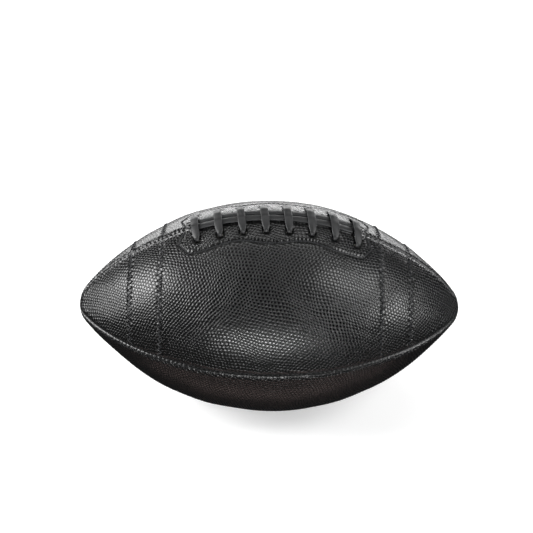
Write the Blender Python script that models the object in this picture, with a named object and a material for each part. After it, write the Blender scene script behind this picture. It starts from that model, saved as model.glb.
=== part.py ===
# American football: four sewn leather panels round a bladder, laced along the top seam.
# Long axis on X, laces on +Z, origin under the middle of the ball at its lowest point.
# Units are metres. Angle 0 round the ball is up, 90 degrees is the front (-Y).

import math

import bmesh
import bpy
import numpy as np
from mathutils import Vector

# Ball outline: a long side arc that runs into a round nose at each tip
BALL_LENGTH = 0.280
MIDDLE_RADIUS = 0.0775
NOSE_RADIUS = 0.021
TIP_SQUARENESS = 2.2        # added to the section's exponent of 2 at the very tip
TIP_SQUARENESS_POWER = 6
RIDGE_HEIGHT = 0.0025       # the ball stands proud under the lacing
RIDGE_HALF_ANGLE = 30.0
RIDGE_HALF_LENGTH = 0.082
RIDGE_FLATNESS = 4          # higher keeps the ridge level for longer
RIDGE_EASE = 1.5            # higher runs it out more softly at its ends

# Layers from the outside in
LEATHER_THICKNESS = 0.0022
SEAM_FLANGE_DEPTH = 0.0054
LINING_THICKNESS = 0.0010
FACING_THICKNESS = 0.0012
GUARD_THICKNESS = 0.0010
BLADDER_THICKNESS = 0.0009
SEAM_GAP = 0.0003
LAYER_GAP = 0.00045
FACET_GAP = 0.0009          # where two layers have unlike facets
THREAD_GAP = 0.0003

# Seam crease
CREASE_DEPTH = 0.0012
CREASE_HALF_WIDTH = 0.0030
LARGEST_LIP = 0.10          # caps on a panel's edge rows near the tips, as shares of the radius
LARGEST_SHOULDER = 0.28
LARGEST_EDGE = 0.30
LARGEST_SHARE = 0.70
SEAM_THREAD_RADIUS = 0.0003
SEAM_THREAD_DEPTH = 0.0006
SEAM_THREAD_TIP_CLEARANCE = 0.014

# Stripes and their stitching
STRIPE_WIDTH = 0.0254
STRIPE_TIP_DISTANCE = 0.0521  # from the ball's tip to the stripe's middle
STRIPE_THICKNESS = 0.0008
STITCH_INSET = 0.0017
STITCH_WIDTH = 0.0025
STITCH_PITCH = 0.0041
STITCH_THREAD_RADIUS = 0.00035

# Lacing
CROSSING_COUNT = 8
CROSSING_PITCH = 0.0160
LACING_SHIFT = 0.0030       # the lacing sits a little nearer the right tip
CROSSING_LEAN = 0.0012      # front holes sit this far to the right, back holes to the left
HOLE_DISTANCE = 0.0142      # from the seam
HOLE_RADIUS = 0.0025
LACE_WIDTH = 0.0056
LACE_THICKNESS = 0.0016
LACE_PINCHED_WIDTH = 0.0034
LACE_PINCHED_THICKNESS = 0.0020
LACE_BEND_RADIUS = 0.0021
# Half of the lace's six-sided section, as shares of its width and thickness
LACE_SECTION = ((0.5, 0.0), (0.36, 0.5), (-0.36, 0.5))
STRAND_SPACING = 0.0006     # between the two long strands
STRAND_CLEARANCE = 0.0007   # between the long strands and the crossings
STRAND_STEPS = 10
STRAND_END = 3.0            # in bend radii, where a strand turns toward its notch
SHOULDER_SHARE = 0.75       # height of a crossing where it starts to fall
TUCK_MARGIN = 0.0002        # a free end stops this short of its crossing's far edge
SLANT_SHARES = (0.15, 0.32, 0.5, 0.68, 0.85)
# From a strand down through a notch: outward and downward in bend radii, share of the
# strand's distance from the seam, pinch and twist
NOTCH_SHAPE = (
    (2.10, 1.00, 0.00, 0.0, 0.0),
    (1.50, 0.80, 0.00, 0.4, 0.0),
    (0.95, 0.32, 0.00, 1.0, 0.0),
    (0.50, 0.00, 0.25, 1.0, 0.0),
    (0.12, 0.00, 0.90, 1.0, 0.1),
    (0.00, 0.00, 1.50, 1.0, 0.4),
    (0.00, 0.00, 2.10, 1.0, 0.7),
)
# From a notch to the flat run inside: away from the seam and up in bend radii, and pinch
NOTCH_EXIT = ((0.4, 0.25, 0.8), (1.2, 0.0, 0.2))
NOTCH_SHIFT = 0.0010        # seam notch, outward from the end crossing
GAP_SAMPLE_STEP = 0.0015
GAP_NEIGHBOUR_LENGTH = 0.0120

# Lace facing, guard and their stitching
FACING_MIDDLE_WIDTH = 0.0262
FACING_CORNER_WIDTH = 0.0150
FACING_SEAM_MARGIN = 0.0080   # past the end crossing, along the seam
FACING_CORNER_MARGIN = 0.0145
FACING_MIDDLE_MARGIN = 0.0040
FACING_STITCH_INSET = 0.0018
FACING_THREAD_STEP = 0.0090
FACING_WAVE_DEPTH = 0.0017    # the long sewn edge runs in three shallow waves
FACING_WAVE_LENGTH = 0.0485
FACING_WAVE_SHIFT = -0.0030   # from the lacing's middle
GUARD_WIDTH = 0.0330
GUARD_MARGIN = 0.0100

# Valve, in the lower back panel
VALVE_ANGLE = 225.0
VALVE_NECK_RADIUS = 0.0036
VALVE_BORE_RADIUS = 0.0021
VALVE_FOOT_RADIUS = 0.0065
VALVE_FOOT_CLEARANCE = 0.0010
VALVE_FOOT_THICKNESS = 0.0012
VALVE_FOOT_TAPER = 0.0040
VALVE_SINK = 0.0008
VALVE_CLEARANCE = 0.0004
CORE_BORE_RADIUS = 0.0006
CORE_SINK = 0.0010
PATCH_RADIUS = 0.0110
PATCH_THICKNESS = 0.0005

# Mesh fineness
MIDDLE_STEPS = 7            # odd, so that the ball's lowest face lies flat under its middle
STRIPE_STEPS = 2
SHOULDER_STEPS = 2
NOSE_STEPS = 3
OUTER_STEPS = 8
INNER_STEPS = 8
PLAIN_INNER_STEPS = 6
WIRE_SIDES = 4
STITCH_SIDES = 3
HOLE_SIDES = 8
PIN_ABOVE = 0.004           # how far a cutting pin stands out of what it cuts
PIN_BELOW = 0.002
VALVE_SIDES = 12
FACING_STEPS = 10
GUARD_STEPS = 8
GUARD_ROWS = 5
SMOOTH_ANGLE = math.radians(35.0)
BLADDER_SIDES = 24
TINY = 1e-6                 # a micrometre, to tell two places apart
BLADDER_STEPS = 14

# Worked out from the sizes above
HALF_LENGTH = BALL_LENGTH / 2
NOSE_CENTRE = HALF_LENGTH - NOSE_RADIUS
SIDE_ARC_RADIUS = ((NOSE_CENTRE ** 2 + MIDDLE_RADIUS ** 2 - NOSE_RADIUS ** 2)
                   / (2 * (MIDDLE_RADIUS - NOSE_RADIUS)))
SIDE_ARC_DROP = SIDE_ARC_RADIUS - MIDDLE_RADIUS
NOSE_START = math.asin(NOSE_CENTRE / (SIDE_ARC_RADIUS - NOSE_RADIUS))
STRIPE_CENTRE = HALF_LENGTH - STRIPE_TIP_DISTANCE
STRIPE_INNER = STRIPE_CENTRE - STRIPE_WIDTH / 2
STRIPE_OUTER = STRIPE_CENTRE + STRIPE_WIDTH / 2
RECESS_DEPTH = STRIPE_THICKNESS + THREAD_GAP
LINING_DEPTH = LEATHER_THICKNESS + LAYER_GAP
FACING_DEPTH = LINING_DEPTH + LINING_THICKNESS + FACET_GAP
INNER_LACE_DEPTH = FACING_DEPTH + FACING_THICKNESS + LAYER_GAP
GUARD_DEPTH = INNER_LACE_DEPTH + LACE_THICKNESS + LAYER_GAP
DENTED_BLADDER_DEPTH = GUARD_DEPTH + GUARD_THICKNESS + LAYER_GAP
BLADDER_DEPTH = SEAM_FLANGE_DEPTH + LAYER_GAP
PATCH_DEPTH = BLADDER_DEPTH - THREAD_GAP - PATCH_THICKNESS
LACING_HALF_LENGTH = CROSSING_PITCH * (CROSSING_COUNT - 1) / 2
FIRST_CROSSING = LACING_SHIFT - LACING_HALF_LENGTH
LAST_CROSSING = LACING_SHIFT + LACING_HALF_LENGTH
FRONT, BACK = 1, -1

# Each panel starts at one seam angle and spans a quarter of the ball
PANELS = {
    "front_lace": 0.0,
    "front_bottom": 90.0,
    "back_bottom": 180.0,
    "back_lace": 270.0,
}


def clear_scene():
    for item in list(bpy.data.objects):
        bpy.data.objects.remove(item, do_unlink=True)


def make_collection(name):
    collection = bpy.data.collections.new(name)
    bpy.context.scene.collection.children.link(collection)
    return collection


def make_material(name, colour, roughness, metallic=0.0):
    material = bpy.data.materials.new(name)
    material.use_nodes = True
    shader = material.node_tree.nodes["Principled BSDF"]
    shader.inputs["Base Color"].default_value = (*colour, 1.0)
    shader.inputs["Roughness"].default_value = roughness
    shader.inputs["Metallic"].default_value = metallic
    return material


# The ball's surface

def side_angle(x):
    """Slope angle of the side arc at a distance x from the middle."""
    return math.asin(max(-1.0, min(1.0, x / SIDE_ARC_RADIUS)))


def outline_point(slope, depth):
    """Place along the axis and radius, at a slope angle and a depth under the surface."""
    size = abs(slope)
    if size <= NOSE_START:
        along = (SIDE_ARC_RADIUS - depth) * math.sin(size)
        radius = (SIDE_ARC_RADIUS - depth) * math.cos(size) - SIDE_ARC_DROP
    else:
        along = NOSE_CENTRE + (NOSE_RADIUS - depth) * math.sin(size)
        radius = (NOSE_RADIUS - depth) * math.cos(size)
    return math.copysign(along, slope), max(radius, 0.0)


def section_factor(along, angle):
    """The section is round in the middle and squares up to the seams at the tips."""
    share = min(1.0, abs(along) / HALF_LENGTH)
    power = 2.0 + TIP_SQUARENESS * share ** TIP_SQUARENESS_POWER
    corner = 2.0 ** (0.5 - 1.0 / power)
    turned = math.radians(angle + 45.0)
    reach = abs(math.cos(turned)) ** power + abs(math.sin(turned)) ** power
    return 2.0 / (1.0 + corner) / reach ** (1.0 / power)


def ridge_rise(along, angle):
    """How far the ball stands proud under the lacing, where its layers are thickest."""
    turned = abs((angle + 180.0) % 360.0 - 180.0) / RIDGE_HALF_ANGLE
    reach = abs(along - LACING_SHIFT) / RIDGE_HALF_LENGTH
    if turned >= 1.0 or reach >= 1.0:
        return 0.0
    across = math.cos(math.pi / 2 * turned) ** 2
    return RIDGE_HEIGHT * across * (1.0 - reach ** RIDGE_FLATNESS) ** RIDGE_EASE


def ball_point(slope, angle, depth):
    """A point at a depth under the surface, about the ball's own axis."""
    along, radius = outline_point(slope, depth)
    radius = radius * section_factor(along, angle) + ridge_rise(along, angle)
    turn = math.radians(angle)
    return Vector((along, -radius * math.sin(turn), radius * math.cos(turn)))


def ball_radius(slope):
    return outline_point(slope, 0.0)[1]


def outward(slope, angle):
    turn = math.radians(angle)
    across = math.cos(slope)
    return Vector((math.sin(slope), -across * math.sin(turn), across * math.cos(turn)))


def along_surface(slope, angle):
    turn = math.radians(angle)
    rise = math.sin(slope)
    return Vector((math.cos(slope), rise * math.sin(turn), -rise * math.cos(turn)))


def round_surface(angle):
    turn = math.radians(angle)
    return Vector((0.0, -math.cos(turn), -math.sin(turn)))


def angle_at(slope, distance):
    """Angle from a seam to a line at this distance from the seam's plane."""
    share = min(LARGEST_SHARE, distance / max(ball_radius(slope), TINY))
    return math.degrees(math.asin(share))


def crease_drop(slope, local_angle):
    """How far the leather rolls down toward the seam on either side of a panel."""
    radius = ball_radius(slope)
    nearest = min(local_angle, 90.0 - local_angle)
    distance = radius * math.sin(math.radians(nearest))
    share = max(0.0, 1.0 - distance / CREASE_HALF_WIDTH)
    return CREASE_DEPTH * share ** 2 * min(1.0, radius / (4 * CREASE_HALF_WIDTH))


def seam_offset(start_angle):
    """Moves a panel off both of its seam planes by half the seam gap."""
    turn = math.radians(start_angle)
    first = Vector((0.0, -math.sin(turn), math.cos(turn)))
    second = Vector((0.0, -math.cos(turn), -math.sin(turn)))
    return (first + second) * SEAM_GAP / 2


def shoulder_height():
    """Height of the ball's axis over the lowest points, beside the bottom seam."""
    slope = side_angle(STRIPE_INNER - THREAD_GAP) / MIDDLE_STEPS
    bottom = ball_point(slope, 180.0 - angle_at(slope, CREASE_HALF_WIDTH), 0.0)
    return -bottom.z + SEAM_GAP / 2


def spread(first, last, steps):
    return list(np.linspace(first, last, steps + 1))


def side_slopes(nose_steps=NOSE_STEPS):
    """Slope angles of one half, from the inner stripe edge to the tip."""
    inner = side_angle(STRIPE_INNER - THREAD_GAP)
    outer = side_angle(STRIPE_OUTER + THREAD_GAP)
    slopes = spread(inner, outer, STRIPE_STEPS)
    slopes += spread(outer, NOSE_START, SHOULDER_STEPS)[1:]
    slopes += spread(NOSE_START, math.pi / 2, nose_steps)[1:]
    return slopes


def all_slopes(nose_steps=NOSE_STEPS):
    half = side_slopes(nose_steps)
    middle = spread(-half[0], half[0], MIDDLE_STEPS)[1:-1]
    return [-slope for slope in reversed(half)] + middle + half


def outer_angles(slope):
    """Local angles of the points across a panel's outer face."""
    radius = max(ball_radius(slope), TINY)
    lip = math.degrees(min(LARGEST_LIP, CREASE_HALF_WIDTH / 3 / radius))
    shoulder = math.degrees(min(LARGEST_SHOULDER, CREASE_HALF_WIDTH / radius))
    middle = spread(shoulder, 90.0 - shoulder, OUTER_STEPS)
    return [0.0, lip] + middle + [90.0 - lip, 90.0]


def inner_angles(slope, edge_distance, depth, steps):
    """Local angles of the points across an inner layer that stops short of the flanges."""
    radius = max(outline_point(slope, depth)[1], TINY)
    edge = math.degrees(math.asin(min(LARGEST_EDGE, edge_distance / radius)))
    return spread(edge, 90.0 - edge, steps)


# Mesh building

def new_object(name, mesh, collection, material, parent):
    item = bpy.data.objects.new(name, mesh)
    collection.objects.link(item)
    item.data.materials.append(material)
    item.parent = parent
    return item


def loft(rings, name, closed_path=False):
    """Skins closed rings of equal count, fills the two end rings and returns a mesh."""
    work = bmesh.new()
    rows = [[work.verts.new(point) for point in ring] for ring in rings]
    count = len(rows[0])
    pairs = list(zip(rows, rows[1:]))
    if closed_path:
        pairs.append((rows[-1], rows[0]))
    for row, following in pairs:
        for index in range(count):
            after = (index + 1) % count
            work.faces.new((row[index], row[after], following[after], following[index]))
    if not closed_path:
        work.faces.new(list(reversed(rows[0])))
        work.faces.new(rows[-1])
    bmesh.ops.remove_doubles(work, verts=work.verts, dist=TINY)
    bmesh.ops.triangulate(work, faces=work.faces)
    bmesh.ops.recalc_face_normals(work, faces=work.faces)
    mesh = bpy.data.meshes.new(name)
    work.to_mesh(mesh)
    work.free()
    mesh.shade_smooth()
    mesh.set_sharp_from_angle(angle=SMOOTH_ANGLE)
    return mesh


def join_meshes(meshes, name):
    work = bmesh.new()
    for mesh in meshes:
        work.from_mesh(mesh)
    joined = bpy.data.meshes.new(name)
    work.to_mesh(joined)
    work.free()
    for mesh in meshes:
        bpy.data.meshes.remove(mesh)
    joined.shade_smooth()
    joined.set_sharp_from_angle(angle=SMOOTH_ANGLE)
    return joined


def cut_with(item, cutter, name):
    modifier = item.modifiers.new(name, "BOOLEAN")
    modifier.operation = "DIFFERENCE"
    modifier.solver = "EXACT"
    modifier.object = cutter


# Panels, linings and stripes

def panel_ring(slope, start_angle, recess, inner_steps):
    """One closed section of a panel: outer face, both turned-in edges and inner face."""
    offset = seam_offset(start_angle)
    in_nose = abs(slope) > NOSE_START + TINY
    flange_depth = LEATHER_THICKNESS if in_nose else SEAM_FLANGE_DEPTH
    inner_radius = outline_point(slope, LEATHER_THICKNESS)[1]
    flange_width = min(LEATHER_THICKNESS, LARGEST_EDGE * inner_radius)
    angles = outer_angles(slope)
    across = inner_angles(slope, flange_width, LEATHER_THICKNESS, inner_steps)
    flange_edge = inner_angles(slope, flange_width, flange_depth, 1)
    ring = [ball_point(slope, start_angle + angle, crease_drop(slope, angle) + recess)
            for angle in angles]
    ring.append(ball_point(slope, start_angle + 90.0, flange_depth))
    ring.append(ball_point(slope, start_angle + flange_edge[1], flange_depth))
    ring += [ball_point(slope, start_angle + angle, LEATHER_THICKNESS)
             for angle in reversed(across)]
    ring.append(ball_point(slope, start_angle + flange_edge[0], flange_depth))
    ring.append(ball_point(slope, start_angle, flange_depth))
    return [point + offset for point in ring]


def panel_mesh(name, start_angle, has_stripes):
    rings = []
    edges = (side_angle(STRIPE_INNER - THREAD_GAP), side_angle(STRIPE_OUTER + THREAD_GAP))
    steps = INNER_STEPS if has_stripes else PLAIN_INNER_STEPS
    for slope in all_slopes():
        size = abs(slope)
        at_edge = min(abs(size - edge) for edge in edges) < TINY
        inside = edges[0] < size < edges[1]
        if has_stripes and at_edge:
            outer_side = abs(size - edges[1]) < TINY
            recess_first = outer_side == (slope > 0)
            recesses = (RECESS_DEPTH, 0.0) if recess_first else (0.0, RECESS_DEPTH)
            rings += [panel_ring(slope, start_angle, recess, steps) for recess in recesses]
        else:
            recess = RECESS_DEPTH if has_stripes and inside and not at_edge else 0.0
            rings.append(panel_ring(slope, start_angle, recess, steps))
    return loft(rings, name)


def lining_mesh(name, start_angle, steps):
    """A thin layer under a panel, between its turned-in edges and short of the tips."""
    offset = seam_offset(start_angle)
    edge = LEATHER_THICKNESS + LAYER_GAP
    rings = []
    for slope in all_slopes():
        if abs(slope) > NOSE_START + TINY:
            continue
        ring = [ball_point(slope, start_angle + angle, LINING_DEPTH) + offset
                for angle in inner_angles(slope, edge, LINING_DEPTH, steps)]
        ring += [ball_point(slope, start_angle + angle, LINING_DEPTH + LINING_THICKNESS) + offset
                 for angle in reversed(inner_angles(slope, edge, LINING_DEPTH, steps))]
        rings.append(ring)
    return loft(rings, name)


def stripe_mesh(name, start_angle, side):
    """A strip of leather across a lace panel, flush in the panel's shallow recess."""
    offset = seam_offset(start_angle)
    inner = side_angle(STRIPE_INNER)
    outer = side_angle(STRIPE_OUTER)
    rings = []
    for slope in spread(side * inner, side * outer, STRIPE_STEPS):
        angles = outer_angles(slope)
        ring = [ball_point(slope, start_angle + angle, crease_drop(slope, angle)) + offset
                for angle in angles]
        ring += [ball_point(slope, start_angle + angle,
                            crease_drop(slope, angle) + STRIPE_THICKNESS) + offset
                 for angle in reversed(angles)]
        rings.append(ring)
    return loft(rings, name)


# Wires

def wire_rings(points, radius, sides=WIRE_SIDES):
    """Sections of a round wire through the points, without twist."""
    rings = []
    spare = None
    for index, point in enumerate(points):
        before = points[max(index - 1, 0)]
        after = points[min(index + 1, len(points) - 1)]
        along = (after - before).normalized()
        if spare is None:
            spare = along.orthogonal().normalized()
        spare = (spare - along * spare.dot(along)).normalized()
        third = along.cross(spare)
        ring = []
        for corner in range(sides):
            turn = 2 * math.pi * corner / sides
            ring.append(point + (spare * math.cos(turn) + third * math.sin(turn)) * radius)
        rings.append(ring)
    return rings


def seam_thread_mesh(name, angle, first, last):
    """Thread that lies in the crease over the gap between two panels."""
    slopes = [first] + [slope for slope in all_slopes() if first < slope < last] + [last]
    points = [ball_point(slope, angle, SEAM_THREAD_DEPTH) for slope in slopes]
    return loft(wire_rings(points, SEAM_THREAD_RADIUS), name)


def zigzag_mesh(name, along, start_angle):
    """One row of zigzag stitches that runs across a stripe's edge from seam to seam."""
    slopes = [side_angle(along + side * STITCH_WIDTH / 2) for side in (-1, 1)]
    radius = ball_radius(side_angle(along))
    edge = math.degrees((CREASE_HALF_WIDTH + STITCH_THREAD_RADIUS) / radius)
    arc_length = radius * math.radians(90.0 - 2 * edge)
    count = max(2, round(2 * arc_length / STITCH_PITCH))
    height = THREAD_GAP + STITCH_THREAD_RADIUS
    offset = seam_offset(start_angle)
    points = [ball_point(slopes[index % 2], start_angle + angle, -height) + offset
              for index, angle in enumerate(spread(edge, 90.0 - edge, count))]
    return loft(wire_rings(points, STITCH_THREAD_RADIUS, STITCH_SIDES), name)


# Lacing

def crossing_places():
    return [FIRST_CROSSING + CROSSING_PITCH * index for index in range(CROSSING_COUNT)]


def hole_angle(slope, side):
    return side * math.degrees(HOLE_DISTANCE / ball_radius(slope))


def lace_route():
    """Stations of the lace: slope, distance round from the seam, height, section, twist."""
    lie = THREAD_GAP + LACE_THICKNESS / 2
    over = THREAD_GAP + LACE_THICKNESS + STRAND_CLEARANCE + LACE_THICKNESS / 2
    inside = -(INNER_LACE_DEPTH + LACE_THICKNESS / 2)
    strand = (LACE_WIDTH + STRAND_SPACING) / 2
    bend = LACE_BEND_RADIUS
    left_notch = FIRST_CROSSING - NOTCH_SHIFT
    right_notch = LAST_CROSSING + NOTCH_SHIFT
    tuck = LACE_WIDTH / 2 - TUCK_MARGIN
    route = []

    def add(x, around, height, pinch, twist):
        route.append((x, around, height, pinch, twist))

    def strand_run(first, last, side):
        for x in spread(first, last, STRAND_STEPS):
            add(x, side * strand, lie, 0.0, 0.0)

    def dive(x, around, side, upward):
        """Quarter bend into a hole, straight through it and a quarter bend inside."""
        shape = []
        for turn in (0.0, 45.0, 90.0):
            reach = bend * math.sin(math.radians(turn))
            fall = bend * (1 - math.cos(math.radians(turn)))
            shape.append((around - side * (bend - reach), lie - fall, min(1.0, 0.5 + turn / 90.0)))
        for turn in (90.0, 45.0, 0.0):
            reach = bend * math.sin(math.radians(turn))
            fall = bend * (1 - math.cos(math.radians(turn)))
            shape.append((around - side * (bend - reach), inside + fall, turn / 90.0))
        if upward:
            shape.reverse()
        for away, height, pinch in shape:
            add(x, away, height, pinch, 1.0)

    def crossing(x):
        """Over both long strands, from the front hole to the back hole."""
        rise = strand + LACE_WIDTH / 2
        shoulder = over * SHOULDER_SHARE + lie * (1 - SHOULDER_SHARE)
        for away, height in ((rise + bend / 2, shoulder), (rise - bend / 2, over), (0.0, over),
                             (bend / 2 - rise, over), (-bend / 2 - rise, shoulder)):
            add(x + CROSSING_LEAN * away / HOLE_DISTANCE, away, height, 0.0, 1.0)

    def notch(x, direction, upward):
        """From a long strand down through the seam notch, with a quarter twist on the way."""
        shape = [(x + direction * away * bend, strand * share, lie - fall * bend, pinch, twist)
                 for away, share, fall, pinch, twist in NOTCH_SHAPE]
        shape.append((x, 0.0, inside + bend, 1.0, 1.0))
        return shape if not upward else list(reversed(shape))

    # Front strand, from its tucked end under the last crossing to the left notch
    strand_run(LAST_CROSSING - tuck, left_notch + STRAND_END * bend, FRONT)
    for x, around, height, pinch, twist in notch(left_notch, 1, False):
        add(x, around, height, pinch, twist)
    for away, rise, pinch in NOTCH_EXIT:
        add(left_notch, bend * away, inside + bend * rise, pinch, 1.0)
    add((left_notch + FIRST_CROSSING + CROSSING_LEAN) / 2, HOLE_DISTANCE / 2, inside, 0.0, 1.0)
    places = crossing_places()
    for index, x in enumerate(places):
        dive(x + CROSSING_LEAN, HOLE_DISTANCE, 1, True)
        crossing(x)
        dive(x - CROSSING_LEAN, -HOLE_DISTANCE, -1, False)
        if index < len(places) - 1:
            # The slanted run inside, from this back hole to the next front hole
            for share in SLANT_SHARES:
                ease = share * share * (3 - 2 * share)
                away = (HOLE_DISTANCE - bend) * (2 * share - 1)
                ahead = (CROSSING_PITCH + 2 * CROSSING_LEAN) * ease - CROSSING_LEAN
                add(x + ahead, away, inside, 0.0, 1.0)
    # Inside from the last back hole to the right notch and out onto the back strand
    add((right_notch + LAST_CROSSING - CROSSING_LEAN) / 2, -HOLE_DISTANCE / 2, inside, 0.0, 1.0)
    for away, rise, pinch in reversed(NOTCH_EXIT):
        add(right_notch, -bend * away, inside + bend * rise, pinch, 1.0)
    for x, around, height, pinch, twist in notch(right_notch, -1, True):
        add(x, -around, height, pinch, twist)
    strand_run(right_notch - STRAND_END * bend, FIRST_CROSSING + tuck, BACK)
    return route


def lace_frames():
    """Centre, width direction, thickness direction, width and thickness at each station."""
    stations = []
    for x, around, height, pinch, twist in lace_route():
        slope = side_angle(x)
        angle = math.degrees(around / ball_radius(slope))
        centre = ball_point(slope, angle, -height)
        stations.append((centre, slope, angle, pinch, twist))
    frames = []
    previous = None
    for index, (centre, slope, angle, pinch, twist) in enumerate(stations):
        before = stations[max(index - 1, 0)][0]
        after = stations[min(index + 1, len(stations) - 1)][0]
        along = (after - before).normalized()
        blend = math.radians(90.0 * twist)
        wide = round_surface(angle) * math.cos(blend) + along_surface(slope, angle) * math.sin(blend)
        wide = (wide - along * wide.dot(along)).normalized()
        if previous is not None and wide.dot(previous) < 0:
            wide = -wide
        previous = wide
        thick = along.cross(wide)
        width = LACE_WIDTH + (LACE_PINCHED_WIDTH - LACE_WIDTH) * pinch
        depth = LACE_THICKNESS + (LACE_PINCHED_THICKNESS - LACE_THICKNESS) * pinch
        frames.append((centre, wide, thick, width, depth))
    return frames


def lace_rings():
    """Sections of the lace along its whole route: six-sided, with soft edges."""
    outline = LACE_SECTION + tuple((-across, -up) for across, up in LACE_SECTION)
    return [[centre + wide * across * width + thick * up * depth for across, up in outline]
            for centre, wide, thick, width, depth in lace_frames()]


def report_lace_gap():
    """Prints the least gap between stretches of the lace that are not neighbours."""
    sections = [[np.array(point) for point in ring] for ring in lace_rings()]
    skin = []
    travelled = []
    distance = 0.0
    for ring, following in zip(sections, sections[1:]):
        length = np.linalg.norm(np.mean(following, axis=0) - np.mean(ring, axis=0))
        steps = max(1, math.ceil(length / GAP_SAMPLE_STEP))
        for step in range(steps):
            share = step / steps
            here = [a * (1 - share) + b * share for a, b in zip(ring, following)]
            between = [(a + b) / 2 for a, b in zip(here, here[1:] + here[:1])]
            skin.append(here + between)
            travelled.append(distance + length * share)
        distance += length
    skin = np.array(skin)
    travelled = np.array(travelled)
    least = 1.0
    for place, ring in zip(travelled, skin):
        later = skin[travelled > place + GAP_NEIGHBOUR_LENGTH].reshape(-1, 3)
        if len(later):
            offsets = ring[:, None, :] - later[None, :, :]
            least = min(least, float(np.sqrt((offsets ** 2).sum(axis=2).min())))
    print(f"least gap of the lace to itself: {least * 1000:.2f} mm")


def hole_cutters(name, collection, parent, material):
    """Pins through the lace panels, one for each lace hole and one for each seam notch."""
    meshes = []
    places = [(x + side * CROSSING_LEAN, hole_angle(side_angle(x + side * CROSSING_LEAN), side))
              for x in crossing_places() for side in (FRONT, BACK)]
    places += [(FIRST_CROSSING - NOTCH_SHIFT, 0.0), (LAST_CROSSING + NOTCH_SHIFT, 0.0)]
    for x, angle in places:
        slope = side_angle(x)
        direction = outward(slope, angle)
        centre = ball_point(slope, angle, 0.0)
        sideways = along_surface(slope, angle)
        around = round_surface(angle)
        rings = []
        for height in (PIN_ABOVE, -(INNER_LACE_DEPTH + PIN_BELOW)):
            ring = []
            for corner in range(HOLE_SIDES):
                turn = 2 * math.pi * (corner + 0.5) / HOLE_SIDES
                ring.append(centre + direction * height
                            + (sideways * math.cos(turn) + around * math.sin(turn)) * HOLE_RADIUS)
            rings.append(ring)
        meshes.append(loft(rings, "pin"))
    cutter = new_object(name, join_meshes(meshes, name), collection, material, parent)
    cutter.hide_render = True
    cutter.display_type = "WIRE"
    return cutter


# Facing, its stitches and the guard

def facing_reach(around):
    """Half length of the facing at a distance round from the seam."""
    seam = LACING_HALF_LENGTH + FACING_SEAM_MARGIN
    corner = LACING_HALF_LENGTH + FACING_CORNER_MARGIN
    middle = LACING_HALF_LENGTH + FACING_MIDDLE_MARGIN
    if around <= FACING_CORNER_WIDTH:
        return seam + (corner - seam) * around / FACING_CORNER_WIDTH
    share = (around - FACING_CORNER_WIDTH) / (FACING_MIDDLE_WIDTH - FACING_CORNER_WIDTH)
    return corner + (middle - corner) * share


def sheet_mesh(name, levels, reach, depth, thickness, steps, shift):
    """A thin curved sheet: rows at given distances round, each with its own half length."""
    rings = []
    for share in spread(-1.0, 1.0, steps):
        ring = []
        for lower in (0, 1):
            row = []
            for around in levels:
                slope = side_angle(LACING_SHIFT + share * reach(abs(around)))
                angle = math.degrees(around / ball_radius(slope))
                row.append(ball_point(slope, angle, depth + lower * thickness) + shift)
            ring += row if lower == 0 else list(reversed(row))
        rings.append(ring)
    return loft(rings, name)


def facing_mesh(name, side):
    inner = LEATHER_THICKNESS + LAYER_GAP
    levels = spread(inner, FACING_CORNER_WIDTH, 2) + spread(
        FACING_CORNER_WIDTH, FACING_MIDDLE_WIDTH, 2)[1:]
    start = 0.0 if side == FRONT else 270.0
    return sheet_mesh(name, [side * level for level in levels], facing_reach, FACING_DEPTH,
                      FACING_THICKNESS, FACING_STEPS, seam_offset(start))


def guard_mesh(name):
    half = LACING_HALF_LENGTH + GUARD_MARGIN
    levels = spread(-GUARD_WIDTH / 2, GUARD_WIDTH / 2, GUARD_ROWS)
    return sheet_mesh(name, levels, lambda around: half, GUARD_DEPTH, GUARD_THICKNESS,
                      GUARD_STEPS, Vector((0.0, 0.0, 0.0)))


def facing_thread_mesh(name, side):
    """One thread that follows the facing's edge on the leather, from seam to seam."""
    width = FACING_MIDDLE_WIDTH - FACING_STITCH_INSET
    corner = FACING_CORNER_WIDTH - FACING_STITCH_INSET
    first = CREASE_HALF_WIDTH + STITCH_THREAD_RADIUS
    outline = []
    for end in (-1, 1):
        edge = [(LACING_SHIFT + end * (facing_reach(around) - FACING_STITCH_INSET), around)
                for around in (first, corner, width)]
        outline += edge if end < 0 else list(reversed(edge))
    height = THREAD_GAP + STITCH_THREAD_RADIUS
    offset = seam_offset(PANELS["front_lace"] if side == FRONT else PANELS["back_lace"])
    points = []
    for (x0, around0), (x1, around1) in zip(outline, outline[1:]):
        count = max(1, round(math.hypot(x1 - x0, around1 - around0) / FACING_THREAD_STEP))
        for share in spread(0.0, 1.0, count)[:-1]:
            x = x0 + (x1 - x0) * share
            slope = side_angle(x)
            around = around0 + (around1 - around0) * share
            if around0 == around1:
                past = x - LACING_SHIFT - FACING_WAVE_SHIFT
                turn = 2 * math.pi * past / FACING_WAVE_LENGTH
                fade = min(1.0, min(x - x0, x1 - x) / FACING_THREAD_STEP)
                around -= FACING_WAVE_DEPTH * (1 - math.cos(turn)) * fade
            angle = side * math.degrees(around / ball_radius(slope))
            points.append(ball_point(slope, angle, -height) + offset)
    slope = side_angle(outline[-1][0])
    angle = side * math.degrees(outline[-1][1] / ball_radius(slope))
    points.append(ball_point(slope, angle, -height) + offset)
    return loft(wire_rings(points, STITCH_THREAD_RADIUS), name)


# Bladder and valve

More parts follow.
